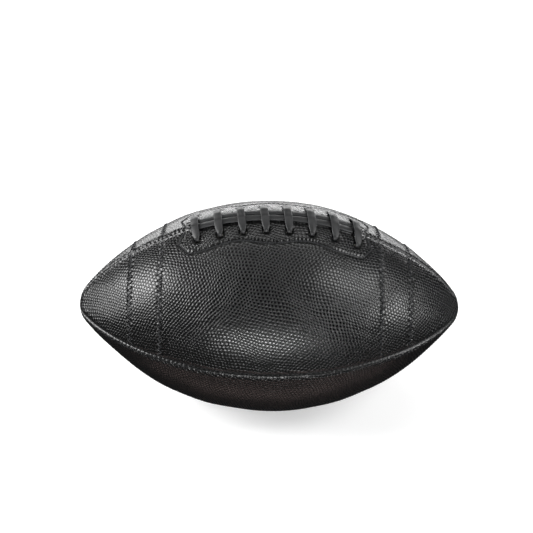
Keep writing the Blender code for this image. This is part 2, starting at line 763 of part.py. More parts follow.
def dent(slope, angle):
    """Share of the dent that the lacing and its guard press into the bladder."""
    side_step = 360.0 / BLADDER_SIDES
    end_step = 2 * NOSE_START * SIDE_ARC_RADIUS / BLADDER_STEPS
    reach = LACING_HALF_LENGTH + GUARD_MARGIN
    end_radius = ball_radius(side_angle(reach + abs(LACING_SHIFT)))
    guard_angle = math.degrees(GUARD_WIDTH / 2 / end_radius)
    full_angle = math.ceil(guard_angle / side_step) * side_step
    turned = abs((angle + 180.0) % 360.0 - 180.0)
    along = abs(outline_point(slope, 0.0)[0] - LACING_SHIFT)
    past_side = max(0.0, (turned - full_angle) / side_step)
    past_end = max(0.0, (along - reach - end_step) / end_step)
    return max(0.0, 1.0 - max(past_side, past_end))


def bladder_mesh(name):
    """A thin closed skin. Its valve hole is cut afterwards and opens the hollow."""
    sides = BLADDER_SIDES
    slopes = spread(-NOSE_START, NOSE_START, BLADDER_STEPS)
    halfway = (NOSE_START + math.pi / 2) / 2
    slopes = [-halfway] + slopes + [halfway]
    work = bmesh.new()
    for inner in (0, 1):
        rows = []
        for slope in slopes:
            row = []
            for side in range(sides):
                angle = 360.0 * side / sides
                share = dent(slope, angle)
                depth = BLADDER_DEPTH + (DENTED_BLADDER_DEPTH - BLADDER_DEPTH) * share
                depth += inner * BLADDER_THICKNESS
                row.append(work.verts.new(ball_point(slope, angle, depth)))
            rows.append(row)
        for row, following in zip(rows, rows[1:]):
            for side in range(sides):
                after = (side + 1) % sides
                corners = (row[side], row[after], following[after], following[side])
                work.faces.new(corners if inner else tuple(reversed(corners)))
        for end, row in ((-1, rows[0]), (1, rows[-1])):
            depth = BLADDER_DEPTH + inner * BLADDER_THICKNESS
            tip = work.verts.new(ball_point(end * math.pi / 2, 0.0, depth))
            for side in range(sides):
                after = (side + 1) % sides
                corners = (row[side], row[after], tip)
                flip = (end > 0) == bool(inner)
                work.faces.new(corners if flip else tuple(reversed(corners)))
    bmesh.ops.triangulate(work, faces=work.faces)
    mesh = bpy.data.meshes.new(name)
    work.to_mesh(mesh)
    work.free()
    mesh.shade_smooth()
    return mesh


def turned_mesh(name, profile, sides=VALVE_SIDES):
    """A piece round the valve's axis. The profile is a closed loop of radius and depth.

    Points wider than the neck follow the ball's curve, the others lie in flat rings.
    """
    direction = outward(0.0, VALVE_ANGLE)
    sideways = along_surface(0.0, VALVE_ANGLE)
    around = round_surface(VALVE_ANGLE)
    centre = ball_point(0.0, VALVE_ANGLE, 0.0)
    rings = []
    for corner in range(sides):
        turn = 2 * math.pi * corner / sides
        ray = sideways * math.cos(turn) + around * math.sin(turn)
        ring = []
        for radius, depth in profile:
            if radius > VALVE_NECK_RADIUS + VALVE_CLEARANCE + TINY:
                slope = side_angle(radius * math.cos(turn))
                angle = VALVE_ANGLE + math.degrees(radius * math.sin(turn) / MIDDLE_RADIUS)
                ring.append(ball_point(slope, angle, depth))
            else:
                ring.append(centre + ray * radius - direction * depth)
        rings.append(ring)
    return loft(rings, name, closed_path=True)


def valve_body_mesh(name):
    """Rubber stem with a bore. A wide foot holds it behind the bladder's wall."""
    foot = BLADDER_DEPTH + BLADDER_THICKNESS + VALVE_FOOT_CLEARANCE
    bottom = foot + VALVE_FOOT_THICKNESS
    profile = [
        (VALVE_BORE_RADIUS, VALVE_SINK),
        (VALVE_NECK_RADIUS, VALVE_SINK),
        (VALVE_NECK_RADIUS, foot),
        (VALVE_FOOT_RADIUS, foot),
        (VALVE_FOOT_RADIUS, bottom),
        (VALVE_NECK_RADIUS, bottom + VALVE_FOOT_TAPER),
        (VALVE_BORE_RADIUS, bottom + VALVE_FOOT_TAPER),
    ]
    return turned_mesh(name, profile)


def valve_core_mesh(name):
    """Soft plug in the stem's bore, with a fine hole for the needle."""
    outer = VALVE_BORE_RADIUS - THREAD_GAP
    foot = BLADDER_DEPTH + BLADDER_THICKNESS + VALVE_FOOT_CLEARANCE
    profile = [
        (CORE_BORE_RADIUS, VALVE_SINK + CORE_SINK),
        (outer, VALVE_SINK + CORE_SINK),
        (outer, foot + VALVE_FOOT_TAPER),
        (CORE_BORE_RADIUS, foot + VALVE_FOOT_TAPER),
    ]
    return turned_mesh(name, profile)


def valve_patch_mesh(name):
    """Ring of rubber that stiffens the bladder round the stem."""
    inner = VALVE_NECK_RADIUS + VALVE_CLEARANCE
    middle = (inner + PATCH_RADIUS) / 2
    bottom = PATCH_DEPTH + PATCH_THICKNESS
    profile = [
        (inner, PATCH_DEPTH),
        (middle, PATCH_DEPTH),
        (PATCH_RADIUS, PATCH_DEPTH),
        (PATCH_RADIUS, bottom),
        (middle, bottom),
        (inner, bottom),
    ]
    return turned_mesh(name, profile)


def valve_cutter(name, collection, parent, material):
    """Pin that opens the panel, its lining and the bladder for the stem."""
    reach = VALVE_NECK_RADIUS + VALVE_CLEARANCE
    direction = outward(0.0, VALVE_ANGLE)
    sideways = along_surface(0.0, VALVE_ANGLE)
    around = direction.cross(sideways)
    centre = ball_point(0.0, VALVE_ANGLE, 0.0)
    rings = []
    for depth in (-PIN_ABOVE, BLADDER_DEPTH + BLADDER_THICKNESS + PIN_BELOW):
        ring = []
        for corner in range(VALVE_SIDES):
            turn = 2 * math.pi * corner / VALVE_SIDES
            ray = sideways * math.cos(turn) + around * math.sin(turn)
            ring.append(centre - direction * depth + ray * reach)
        rings.append(ring)
    cutter = new_object(name, loft(rings, name), collection, material, parent)
    cutter.hide_render = True
    cutter.display_type = "WIRE"
    return cutter


def build():
    clear_scene()
    parts = make_collection("american_football")
    cutters = make_collection("cutters")
    axis = bpy.data.objects.new("ball_axis", None)
    parts.objects.link(axis)
    axis.location = (0.0, 0.0, shoulder_height())

    leather = make_material("black pebbled leather", (0.020, 0.020, 0.022), 0.42)
    cloth = make_material("grey lining cloth", (0.30, 0.30, 0.28), 0.85)
    lace_vinyl = make_material("charcoal lace vinyl", (0.045, 0.046, 0.050), 0.55)
    thread = make_material("black waxed thread", (0.010, 0.011, 0.016), 0.60)
    rubber = make_material("black bladder rubber", (0.015, 0.015, 0.015), 0.50)
    valve_rubber = make_material("grey valve rubber", (0.16, 0.16, 0.16), 0.55)
    cutter_paint = make_material("cutter", (0.8, 0.1, 0.1), 0.5)

    def add(name, mesh, material):
        return new_object(name, mesh, parts, material, axis)

    holes = hole_cutters("lace_hole_pins", cutters, axis, cutter_paint)
    valve_pin = valve_cutter("valve_pin", cutters, axis, cutter_paint)

    for place, start_angle in PANELS.items():
        laced = place.endswith("lace")
        panel = add(place + "_panel", panel_mesh(place + "_panel", start_angle, laced), leather)
        steps = INNER_STEPS if laced else PLAIN_INNER_STEPS
        lining = add(place + "_lining", lining_mesh(place + "_lining", start_angle, steps), cloth)
        for item in (panel, lining):
            if laced:
                cut_with(item, holes, "lace holes")
            if place == "back_bottom":
                cut_with(item, valve_pin, "valve hole")

    rows = {"inner": STRIPE_INNER + STITCH_INSET, "outer": STRIPE_OUTER - STITCH_INSET}
    for side, end in ((-1, "left"), (1, "right")):
        for place in ("front_lace", "back_lace"):
            face = place.split("_")[0]
            name = f"{end}_{face}_stripe"
            add(name, stripe_mesh(name, PANELS[place], side), leather)
            for row, along in rows.items():
                stitching = f"{name}_{row}_stitching"
                add(stitching, zigzag_mesh(stitching, side * along, PANELS[place]), thread)

    for side, face in ((FRONT, "front"), (BACK, "back")):
        facing = add(face + "_lace_facing", facing_mesh(face + "_lace_facing", side), leather)
        cut_with(facing, holes, "lace holes")
        name = face + "_facing_stitching"
        add(name, facing_thread_mesh(name, side), thread)

    thread_end = side_angle(HALF_LENGTH - SEAM_THREAD_TIP_CLEARANCE)
    for name, angle in (("front_seam_thread", 90.0), ("bottom_seam_thread", 180.0),
                        ("back_seam_thread", 270.0)):
        add(name, seam_thread_mesh(name, angle, -thread_end, thread_end), thread)
    left_start = side_angle(FIRST_CROSSING - FACING_SEAM_MARGIN)
    right_start = side_angle(LAST_CROSSING + FACING_SEAM_MARGIN)
    name = "left_top_seam_thread"
    add(name, seam_thread_mesh(name, 0.0, -thread_end, left_start), thread)
    name = "right_top_seam_thread"
    add(name, seam_thread_mesh(name, 0.0, right_start, thread_end), thread)

    add("lace", loft(lace_rings(), "lace"), lace_vinyl)
    report_lace_gap()

    add("bladder_guard", guard_mesh("bladder_guard"), cloth)
    bladder = add("bladder", bladder_mesh("bladder"), rubber)
    cut_with(bladder, valve_pin, "valve hole")
    add("valve_patch", valve_patch_mesh("valve_patch"), rubber)
    add("valve_body", valve_body_mesh("valve_body"), valve_rubber)
    add("valve_core", valve_core_mesh("valve_core"), rubber)


build()
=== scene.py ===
import math

import bmesh
import bpy
import numpy as np
from mathutils import Matrix, Vector
from mathutils.geometry import delaunay_2d_cdt


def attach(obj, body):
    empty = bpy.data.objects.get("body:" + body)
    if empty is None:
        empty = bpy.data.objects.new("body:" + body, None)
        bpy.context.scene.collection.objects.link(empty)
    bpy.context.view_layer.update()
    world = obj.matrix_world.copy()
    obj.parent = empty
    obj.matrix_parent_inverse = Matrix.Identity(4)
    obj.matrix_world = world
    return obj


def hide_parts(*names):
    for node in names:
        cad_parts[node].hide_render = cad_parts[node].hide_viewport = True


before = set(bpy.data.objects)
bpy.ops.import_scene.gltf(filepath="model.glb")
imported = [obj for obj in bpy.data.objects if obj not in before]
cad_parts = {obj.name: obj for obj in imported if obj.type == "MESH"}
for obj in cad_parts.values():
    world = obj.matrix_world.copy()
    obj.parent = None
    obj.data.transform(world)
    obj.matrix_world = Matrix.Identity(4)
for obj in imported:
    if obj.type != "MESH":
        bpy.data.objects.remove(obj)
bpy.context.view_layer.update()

# A black leather american football: pebbled panels, sewn stripes and one flat lace.
# Shapes are worked out in millimetres and turned to metres when a mesh is made.
# Angles go round the ball: 0 is up, 90 the front, 180 the bottom, 270 the back.
# On a panel, "along" is the arc length from the ball's middle and "across" runs round it.


# Small tools

def linear(hexColour):
    parts = [int(hexColour[i:i + 2], 16) / 255 for i in (1, 3, 5)]
    return tuple(c / 12.92 if c <= 0.04045 else ((c + 0.055) / 1.055) ** 2.4 for c in parts) + (1.0,)


def addNode(tree, kind, values):
    # Each value is linked if it is a socket, else set on the node or on one of its inputs
    node = tree.nodes.new("ShaderNode" + kind)
    for name, value in values.items():
        if isinstance(value, bpy.types.NodeSocket):
            tree.links.new(value, node.inputs[name])
        elif isinstance(name, str) and hasattr(node, name):
            setattr(node, name, value)
        else:
            node.inputs[name].default_value = value
    return node.outputs


def smoothStep(value):
    share = np.clip(value, 0.0, 1.0)
    return share * share * (3.0 - 2.0 * share)


def unitRows(vectors):
    return vectors / np.linalg.norm(vectors, axis=1)[:, None]


def addToScene(name, data):
    made = bpy.data.objects.new(name, data)
    bpy.context.scene.collection.objects.link(made)
    return made


def newPiece(name, vertices, faces, material, node):
    mesh = bpy.data.meshes.new(name)
    mesh.from_pydata((np.asarray(vertices) * 0.001).tolist(), [], faces)
    mesh.shade_smooth()
    mesh.materials.append(material)
    piece = addToScene(name, mesh)
    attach(piece, "root")
    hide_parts(node)
    return piece


def addNumbers(piece, name, values):
    values = np.asarray(values, np.float32)
    kind, field = ("FLOAT_VECTOR", "vector") if values.ndim == 2 else ("FLOAT", "value")
    piece.data.attributes.new(name, kind, "POINT").data.foreach_set(field, values.ravel())


def tubeFaces(count, sides):
    # Quads between rings of points, and a cap on each end
    found = []
    for base in range(0, (count - 1) * sides, sides):
        for side in range(sides):
            after = (side + 1) % sides
            found.append((base + side, base + after, base + sides + after, base + sides + side))
    found.append(tuple(range(sides))[::-1])
    found.append(tuple((count - 1) * sides + side for side in range(sides)))
    return found


# The ball's surface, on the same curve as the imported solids

ball = {
    "halfLength": 140.0,
    "middleRadius": 77.5,
    "noseRadius": 21.0,
    "squareness": 2.2,          # the section grows corners at the seams towards the tips
    "squarenessPower": 6.0,
    "ridgeHeight": 2.5,         # the ball stands proud under the lacing
    "ridgeHalfAngle": math.radians(30.0),
    "ridgeHalfLength": 82.0,
    "ridgeCentre": 3.0,
    "ridgeFlatness": 4.0,
    "ridgeEase": 1.5,
    "axisHeight": 77.2415,
    "seamGap": 0.3,
    "leather": 2.2,
    "flange": 5.4,
    "tipOpening": 0.35,         # the panels leave the very tip open
}
noseCentre = ball["halfLength"] - ball["noseRadius"]
sideRadius = ((noseCentre ** 2 + ball["middleRadius"] ** 2 - ball["noseRadius"] ** 2)
              / (2 * (ball["middleRadius"] - ball["noseRadius"])))
sideDrop = sideRadius - ball["middleRadius"]
noseStart = math.asin(noseCentre / (sideRadius - ball["noseRadius"]))
sideArc = sideRadius * noseStart
halfArc = sideArc + ball["noseRadius"] * (math.pi / 2 - noseStart)


def arcAt(x):
    return sideRadius * math.asin(x / sideRadius)


def slopeAt(arc):
    size = np.abs(arc)
    slope = np.where(size <= sideArc, size / sideRadius,
                     noseStart + (size - sideArc) / ball["noseRadius"])
    return np.copysign(np.minimum(slope, math.pi / 2), arc)


def profileAt(arc, lift):
    # Distance along the axis and from it, on the long side arc or on the nose
    slope = np.abs(slopeAt(arc))
    onSide = slope <= noseStart
    side, nose = sideRadius + lift, ball["noseRadius"] + lift
    return (np.where(onSide, side * np.sin(slope), noseCentre + nose * np.sin(slope)),
            np.where(onSide, side * np.cos(slope) - sideDrop, nose * np.cos(slope)))


def radiusAt(arc):
    return profileAt(arc, 0.0)[1]


def halfWidthAt(arc):
    return math.pi / 4 * radiusAt(arc)


def surface(arc, angle, lift):
    arc, angle, lift = np.broadcast_arrays(np.asarray(arc, float), angle, lift)
    along, radius = profileAt(arc, lift)
    share = np.minimum(1.0, along / ball["halfLength"])
    power = 2.0 + ball["squareness"] * share ** ball["squarenessPower"]
    corner = 2.0 ** (0.5 - 1.0 / power)
    turned = angle + math.pi / 4
    reach = np.abs(np.cos(turned)) ** power + np.abs(np.sin(turned)) ** power
    radius = np.maximum(radius, 0.0) * 2.0 / (1.0 + corner) / reach ** (1.0 / power)
    aside = np.abs((angle + math.pi) % (2 * math.pi) - math.pi) / ball["ridgeHalfAngle"]
    beyond = np.abs(np.copysign(along, arc) - ball["ridgeCentre"]) / ball["ridgeHalfLength"]
    fade = np.maximum(0.0, 1.0 - beyond ** ball["ridgeFlatness"]) ** ball["ridgeEase"]
    radius = radius + ball["ridgeHeight"] * np.cos(math.pi / 2 * np.minimum(aside, 1.0)) ** 2 * fade
    return np.stack([np.copysign(along, arc), -radius * np.sin(angle),
                     radius * np.cos(angle) + ball["axisHeight"]], axis=-1)


def seamShift(start):
    half = ball["seamGap"] / 2
    return np.array([0.0, -math.sin(start) - math.cos(start), math.cos(start) - math.sin(start)]) * half


# The pebble print of the leather: domes on a triangular lattice, bent by slow waves

pebbles = {
    "pitch": 2.4,               # between neighbouring domes
    "height": 0.31,
    "level": 0.4,               # share of the height that lies below the leather's even face
    "swell": 0.22,              # some pebbles stand higher than others
    "foot": 1.25,               # from a pebble's middle to where its dome ends
    "crown": 0.37,              # added by the material: finer than the mesh can carry
    "rim": 1.15,                # from a pebble's middle to where its crown ends
    "domeReach": 0.56,          # share of the pitch over which the dye and the shine change
    "turn": math.radians(13.0),
    "wavelengths": (6.0, 9.0, 14.0, 23.0, 41.0),
    "bend": 0.022,              # each wave's swing over its length
    "cells": 4,                 # mesh steps to a pitch
    "reach": 62.0,              # the lattice's half width over a panel
    "spare": 70.0,              # and what it has past a panel's ends
}


def makeWaves(seed):
    dice = np.random.RandomState(seed)
    return [(length, *dice.uniform(0.0, 2 * math.pi, 3)) for length in pebbles["wavelengths"]]


def bendOf(a, b, waves):
    moved = np.zeros((2,) + np.shape(a))
    for length, heading, push, phase in waves:
        swing = pebbles["bend"] * length * np.sin(
            2 * math.pi * (a * math.cos(heading) + b * math.sin(heading)) / length + phase)
        moved += np.stack([swing * math.cos(push), swing * math.sin(push)])
    return moved


def latticeToPanel(a, b, waves):
    turn = pebbles["turn"]
    moved = bendOf(a, b, waves)
    return (a * math.cos(turn) - b * math.sin(turn) + moved[0],
            a * math.sin(turn) + b * math.cos(turn) + moved[1])


def panelToLattice(along, across, waves):
    turn = pebbles["turn"]
    a, b = along, across
    for attempt in range(6):    # undoes the bend by trying again from the last answer
        moved = bendOf(a, b, waves) if attempt else np.zeros((2,) + np.shape(along))
        u, v = along - moved[0], across - moved[1]
        a, b = u * math.cos(turn) + v * math.sin(turn), -u * math.sin(turn) + v * math.cos(turn)
    return a, b


def domeOf(a, b):
    pitch = pebbles["pitch"]
    row = pitch * math.sqrt(3.0)
    nearest = np.full(np.shape(a), np.inf)
    for shift in (0.0, 0.5):
        da = (a + (shift + 0.5) * pitch) % pitch - pitch / 2
        db = (b + (shift + 0.5) * row) % row - row / 2
        nearest = np.minimum(nearest, np.hypot(da, db))
    return np.maximum(1.0 - (nearest / pebbles["foot"]) ** 2, 0.0)


# Places that the leather, the thread and the lace share

stripes = {
    "inner": 75.2,              # along the axis, from the ball's middle
    "outer": 100.6,
    "thickness": 0.8,
    "recess": 1.0,
    "slit": 0.04,               # open line between a stripe's edge and the panel
    "bevelDepth": 0.14,
    "bevelWidth": 0.3,
}
zigzag = {
    "inset": 1.7,
    "width": 2.5,
    "pitch": 4.1,
    "edge": 3.35,               # first needle hole, from the seam
    "radius": 0.33,
    "rise": 0.12,               # height of a stitch's middle over the leather
    "dive": 1.0,                # depth of a stitch's ends
}
lacing = {
    "crossings": 8,
    "pitch": 16.0,
    "shift": 3.0,
    "holeDistance": 14.2,
    "lean": 1.2,                # front holes sit this far to the right, back holes to the left
    "holeRadius": 2.5,
    "snug": 0.1,                # the leather closes this much round the lace
    "notchShift": 1.0,          # seam notch, outward from the end crossing
}
facing = {
    "start": 2.6,               # first stitch, from the seam
    "seamMargin": 8.0,
    "cornerMargin": 14.5,
    "middleMargin": 4.0,
    "corner": 15.0,
    "middle": 26.2,
    "inset": 1.8,
    "waveDepth": 1.7,           # the long sewn edge runs in three shallow waves
    "waveLength": 48.5,
    "waveShift": -3.0,
    "waveEase": 9.0,            # the waves fade out over this much at each end
    "stitch": 3.1,
    "radius": 0.26,
    "rise": -0.12,              # these stitches lie in their groove
    "dive": 0.9,
    "groove": 0.85,             # depth of the line that the stitches pull in
    "grooveReach": 0.7,
    "swell": 0.3,               # the leather over the facing stands this much higher
    "swellEase": 2.5,           # and rises to that over this much
}
seams = {
    "roll": 2.9,                # how far from the seam the leather starts to turn in
    "depth": 1.9,
    "stitch": 3.3,
    "pucker": 0.45,
    "puckerWidth": 1.5,
    "lowerTight": 0.35,         # the lower seams were sewn first, inside out
    "welt": 0.22,               # the soft rise beside a seam
    "weltPlace": 4.2,
    "weltWidth": 2.2,
    "faint": (0.25, 0.4, 2.4),  # the print is weak at a seam, so the leather there takes the darker valley colour, partly painted shade: its least, its start and its ease
    "flattens": 0.9,            # how far a full dent flattens the print
    "rubAndSheen": (2.0, 1.3),       # the band beside a seam, worn by hands and painted lighter as a highlight along the seam lip: place and width
    "pressed": 6.3,             # the strands' line in the leather, from the top seam; its weak print is a painted shadow line under the strands
    "pressedDepth": 0.9,
    "pressedWidth": 0.8,
    "lacedEase": 3.0,           # the sewn seam gives way to the laced one over this much
    "threadEnd": 126.0,
    "threadDepth": 1.15,
    "threadDive": 0.9,
    "radius": 0.34,
}
valve = {"angle": math.radians(225.0), "hole": 4.0}

crossingPlaces = [lacing["shift"] + lacing["pitch"] * (i - (lacing["crossings"] - 1) / 2)
                  for i in range(lacing["crossings"])]
notchPlaces = [crossingPlaces[0] - lacing["notchShift"], crossingPlaces[-1] + lacing["notchShift"]]
lacedArcs = (arcAt(crossingPlaces[0] - facing["seamMargin"]),
             arcAt(crossingPlaces[-1] + facing["seamMargin"]))


def stitchPull(along):
    # 1 where a seam's stitch pulls the leather in, 0 between two stitches
    return 0.5 + 0.5 * np.cos(2 * math.pi * along / seams["stitch"])


def facingReach(around):
    half = lacing["pitch"] * (lacing["crossings"] - 1) / 2
    seam, corner, middle = (half + facing[k] for k in ("seamMargin", "cornerMargin", "middleMargin"))
    if around <= facing["corner"]:
        return seam + (corner - seam) * around / facing["corner"]
    share = (around - facing["corner"]) / (facing["middle"] - facing["corner"])
    return corner + (middle - corner) * share


def facingLine():
    # The sewn edge of the lace facing, from seam to seam: arc length and distance from the seam
    level = facing["middle"] - facing["inset"]
    side = [(facingReach(d) - facing["inset"], d)
            for d in (facing["start"], facing["corner"] - facing["inset"], level)]
    half = side[-1][0]
    x = np.linspace(-half, half, 80)
    turn = 2 * math.pi * (x - facing["waveShift"]) / facing["waveLength"]
    fade = np.minimum(1.0, (half - np.abs(x)) / facing["waveEase"])
    wave = level - facing["waveDepth"] * (1.0 - np.cos(turn)) * fade
    points = [(-reach, d) for reach, d in side[:-1]] + list(zip(x, wave)) + side[-2::-1]
    points = resample(points, 1.0)
    ends = points[[0, -1]].copy()
    for _ in range(6):          # rounds its corners
        points[1:-1] = (points[:-2] + 2 * points[1:-1] + points[2:]) / 4
    points[[0, -1]] = ends
    points[:, 0] = [arcAt(lacing["shift"] + place) for place in points[:, 0]]
    return points


def lengthsOf(points):
    return np.concatenate([[0.0], np.cumsum(np.linalg.norm(np.diff(points, axis=0), axis=1))])


def resample(points, step):
    points = np.asarray(points, float)
    lengths = lengthsOf(points)
    count = max(2, int(round(lengths[-1] / step)) + 1)
    at = np.linspace(0.0, lengths[-1], count)
    return np.stack([np.interp(at, lengths, points[:, i]) for i in range(points.shape[1])], axis=1)


def zigzagHoles(x):
    # Needle holes of one zigzag row over a stripe: arc length and local angle of each
    radius = float(radiusAt(arcAt(x)))
    edge = zigzag["edge"] / radius
    count = max(2, round(2 * radius * (math.pi / 2 - 2 * edge) / zigzag["pitch"]))
    columns = [arcAt(x - zigzag["width"] / 2), arcAt(x + zigzag["width"] / 2)]
    return [(columns[i % 2], angle) for i, angle in
            enumerate(np.linspace(edge, math.pi / 2 - edge, count + 1))]


def distanceToLine(along, across, line):
    nearest = np.full(np.shape(along), np.inf)
    for (u0, v0), (u1, v1) in zip(line, line[1:]):
        du, dv = u1 - u0, v1 - v0
        share = np.clip(((along - u0) * du + (across - v0) * dv) / (du * du + dv * dv + 1e-12), 0, 1)
        nearest = np.minimum(nearest, np.hypot(along - u0 - share * du, across - v0 - share * dv))
    return nearest


# Leather pieces. A plan says where a piece lies and what is cut, sewn or pressed into it.

marks = {
    # shares of a mark's depth with their widths, and how far it flattens the print, with its width. A
    # flattened print takes the darker valley colour: painted shade in holes, pits and grooves
    "hole": {"depth": 1.0, "dents": ((0.95, 1.0), (0.25, 3.5)), "flattens": (0.8, 1.1)},
    "notch": {"depth": 0.6, "dents": ((1.0, 1.0),), "flattens": (0.0, 1.0)},
    "pit": {"depth": 1.0, "dents": ((0.75, 0.75), (0.16, 1.8)), "flattens": (0.98, 1.25)},
    "groove": {"depth": 1.0, "dents": ((1.0, 1.0), (0.35, 3.0)), "flattens": (0.95, 1.5)},
}
cut = {
    "edgeSteps": (0.16, 0.42, 0.8, 1.3, 1.9, 2.6, 3.3),     # rows of points beside a seam
    "holeRings": ((0.0, 24), (0.3, 24), (0.75, 26), (1.3, 28), (2.0, 30)),  # distance and points
    "pitRings": ((0.42, 6), (0.9, 9)),
    "grooveRows": (-1.1, -0.5, 0.0, 0.5, 1.1),
    "grooveReach": 0.55,        # the groove that these rows were chosen for
    "grooveStep": 0.85,         # along it
    "bevel": (0.0, 0.12, 0.32, 0.6),
    "acrossStep": 0.8,          # between the points of a row across the piece
    "step": 0.02,               # half of the slope at a recess's end
    "holeSides": 24,
    "tipRadius": 14.0,          # details shrink where the ball is slimmer than this
    "margin": 0.4,              # kept free between the lattice and anything else
    "holeMargin": 2.5,
    "notchMargin": (1.5, 3.8),
    "pitMargin": 1.3,
    "underStep": 6.0,           # the hidden lower face is coarse
    "underMargin": 3.0,
    "underEnds": (4.0, 3.0),    # kept free at its first and last end
    "underLeast": 2.0,          # half width of the slimmest row
    "underHoleMargin": 1.5,
    "underNotchDrop": 9.0,
    "stripMargin": 2.2,         # between the rows beside a seam and a hole
    "looseMargin": 0.3,
    "tolerance": 1e-4,
    "holeSlack": -0.03,         # a ring's chords pass inside its circle
    "insetShare": 0.98,
}
flatMap = {
    # islands in shares of the map: start and size
    "along": (0.005, 0.99),
    "outer": (0.30, 0.69),
    "under": (0.01, 0.2),
    "wallTop": 0.28,
    "wallFoot": 0.24,
}


def smallAt(arc, least=0.02):
    return np.clip(radiusAt(arc) / cut["tipRadius"], least, 1.0)


def bell(away, width):
    return np.exp(-(away / width) ** 2)


def roll(share):
    return 1.0 - np.sqrt(1.0 - np.clip(share, 0.0, 1.0) ** 2)


def newPlan(start, first, last, thickness, flange, seed, **extra):
    plan = dict(start=start, first=first, last=last, thickness=thickness, flange=flange, seed=seed,
                waves=makeWaves(seed), topSide=0, holes=[], notches=[], recesses=[], pits=[],
                grooves=[], bevel=False, pad=None)
    plan.update(extra)
    return plan


def pastHoles(plan, points, margin):
    fine = np.ones(len(points), bool)
    for place, over, radius in plan["holes"]:
        fine &= np.hypot(points[:, 0] - place, points[:, 1] - over) > radius + margin
    return fine


def seamLine(plan, arc, side):
    edge = halfWidthAt(arc)
    if side == plan["topSide"]:
        for place, radius in plan["notches"]:
            edge = edge - np.sqrt(np.maximum(0.0, radius ** 2 - (arc - place) ** 2))
    return side * edge


def seamDistance(plan, along, across):
    return np.minimum(across - seamLine(plan, along, -1), seamLine(plan, along, 1) - across)


def unevenness(along, across, seed):
    dice = np.random.RandomState(seed + 500)
    total = np.zeros(np.shape(along))
    for length, swing in ((19.0, 0.03), (31.0, 0.07), (47.0, 0.12), (83.0, 0.2)):
        heading, phase = dice.uniform(0.0, 2 * math.pi, 2)
        total += swing * np.sin(2 * math.pi * (along * math.cos(heading) + across * math.sin(heading))
                                / length + phase)
    return total


def pressMark(lift, printed, away, mark, depth=1.0, reach=1.0):
    away = np.maximum(away, 0.0) / reach
    dent = sum(share * bell(away, width) for share, width in marks[mark]["dents"])
    flattened, width = marks[mark]["flattens"]
    lift -= depth * marks[mark]["depth"] * dent
    # The flattened print darkens the colour: painted shade in the mark
    printed *= 1.0 - flattened * bell(away, width)


def shapeLeather(plan, along, across):
    # How high the leather stands, its place in the print, the print's strength and the rubbing
    a, b = panelToLattice(along, across, plan["waves"])
    width = halfWidthAt(along)
    small = smallAt(along)
    lift = (unevenness(along, across, plan["seed"]) - 0.2) * small
    printed = np.ones(np.shape(along))
    worn = np.zeros(np.shape(along))
    pull = stitchPull(along)
    least, faintStart, faintEase = seams["faint"]
    rubSheenPlace, rubSheenWidth = seams["rubAndSheen"]
    for side in (-1, 1):
        away = np.maximum(width - side * across, 0.0)
        top = side == plan["topSide"]
        sewn = np.ones(np.shape(along))
        if top:
            ease = seams["lacedEase"]
            sewn -= smoothStep((along - lacedArcs[0]) / ease) * smoothStep((lacedArcs[1] - along) / ease)
        tight = 1.0 if top else seams["lowerTight"]
        reach = (seams["roll"] + seams["pucker"] * tight * (2 * pull - 1) * sewn) * small
        lift -= seams["depth"] * small * roll(1.0 - away / reach)
        dent = tight * small * sewn * pull ** 3 * bell(away, seams["puckerWidth"] * small)
        lift -= dent
        printed *= 1.0 - seams["flattens"] * dent
        lift += seams["welt"] * small * bell(away - seams["weltPlace"], seams["weltWidth"])
        printed *= least + (1.0 - least) * smoothStep((away - faintStart) / faintEase)
        if top:                 # the taut strands press a line into the leather; its flattened print is a painted shadow line under them
            laced, beside = 1.0 - sewn, away - seams["pressed"]
            lift -= seams["pressedDepth"] * laced * bell(beside, seams["pressedWidth"])
            # Painted shadow under the strands: the weakened print takes the dark valley colour
            printed *= 1.0 - seams["flattens"] * laced * bell(beside, 1.0)
        # The band beside each seam is partly wear and partly a painted highlight along the seam lip
        worn = np.maximum(worn, bell(away - rubSheenPlace, rubSheenWidth))
    for place, over, radius in plan["holes"]:
        pressMark(lift, printed, np.hypot(along - place, across - over) - radius, "hole")
    for place, radius in plan["notches"]:
        away = np.hypot(along - place, across - plan["topSide"] * width) - radius
        pressMark(lift, printed, away, "notch")
    for places in plan["pits"]:
        pressMark(lift, printed, nearestOf(places, along, across), "pit")
    for line, depth, reach in plan["grooves"]:
        pressMark(lift, printed, distanceToLine(along, across, line), "groove", depth, reach)
    if plan["pad"] is not None:
        lift += plan["pad"](along, across)
    for inner, outer in plan["recesses"]:
        lift = np.where((along > inner) & (along < outer), lift - stripes["recess"], lift)
    if plan["bevel"]:
        for end, sign in ((plan["first"], 1), (plan["last"], -1)):
            lift -= stripes["bevelDepth"] * roll(1.0 - sign * (along - end) / stripes["bevelWidth"])
    swell = 1.0 + pebbles["swell"] * np.sin(a * 1.7 + 2.0 * np.sin(b * 0.9)) * np.sin(b * 1.3 + 1.0)
    lift += pebbles["height"] * (domeOf(a, b) - pebbles["level"]) * printed * swell * small
    return lift, a, b, printed, worn


def nearestOf(places, along, across):
    return np.min(np.hypot(along[:, None] - places[:, 0], across[:, None] - places[:, 1]), axis=1)


def fillPlane(points, edges):
    found = delaunay_2d_cdt([Vector(p) for p in points.tolist()], edges, [], 0, 1e-6, True)
    vertices = np.array([tuple(v) for v in found[0]])
    sources = {ids[0]: k for k, ids in enumerate(found[3]) if ids}
    return vertices, [tuple(face) for face in found[2]], sources


def ringOf(place, over, radius, count):
    turns = 2 * math.pi * np.arange(count) / count
    return np.stack([place + radius * np.cos(turns), over + radius * np.sin(turns)], axis=1)


def rowOf(place, low, high, count):
    return np.stack([np.full(count, place), np.linspace(low, high, count)], axis=1)


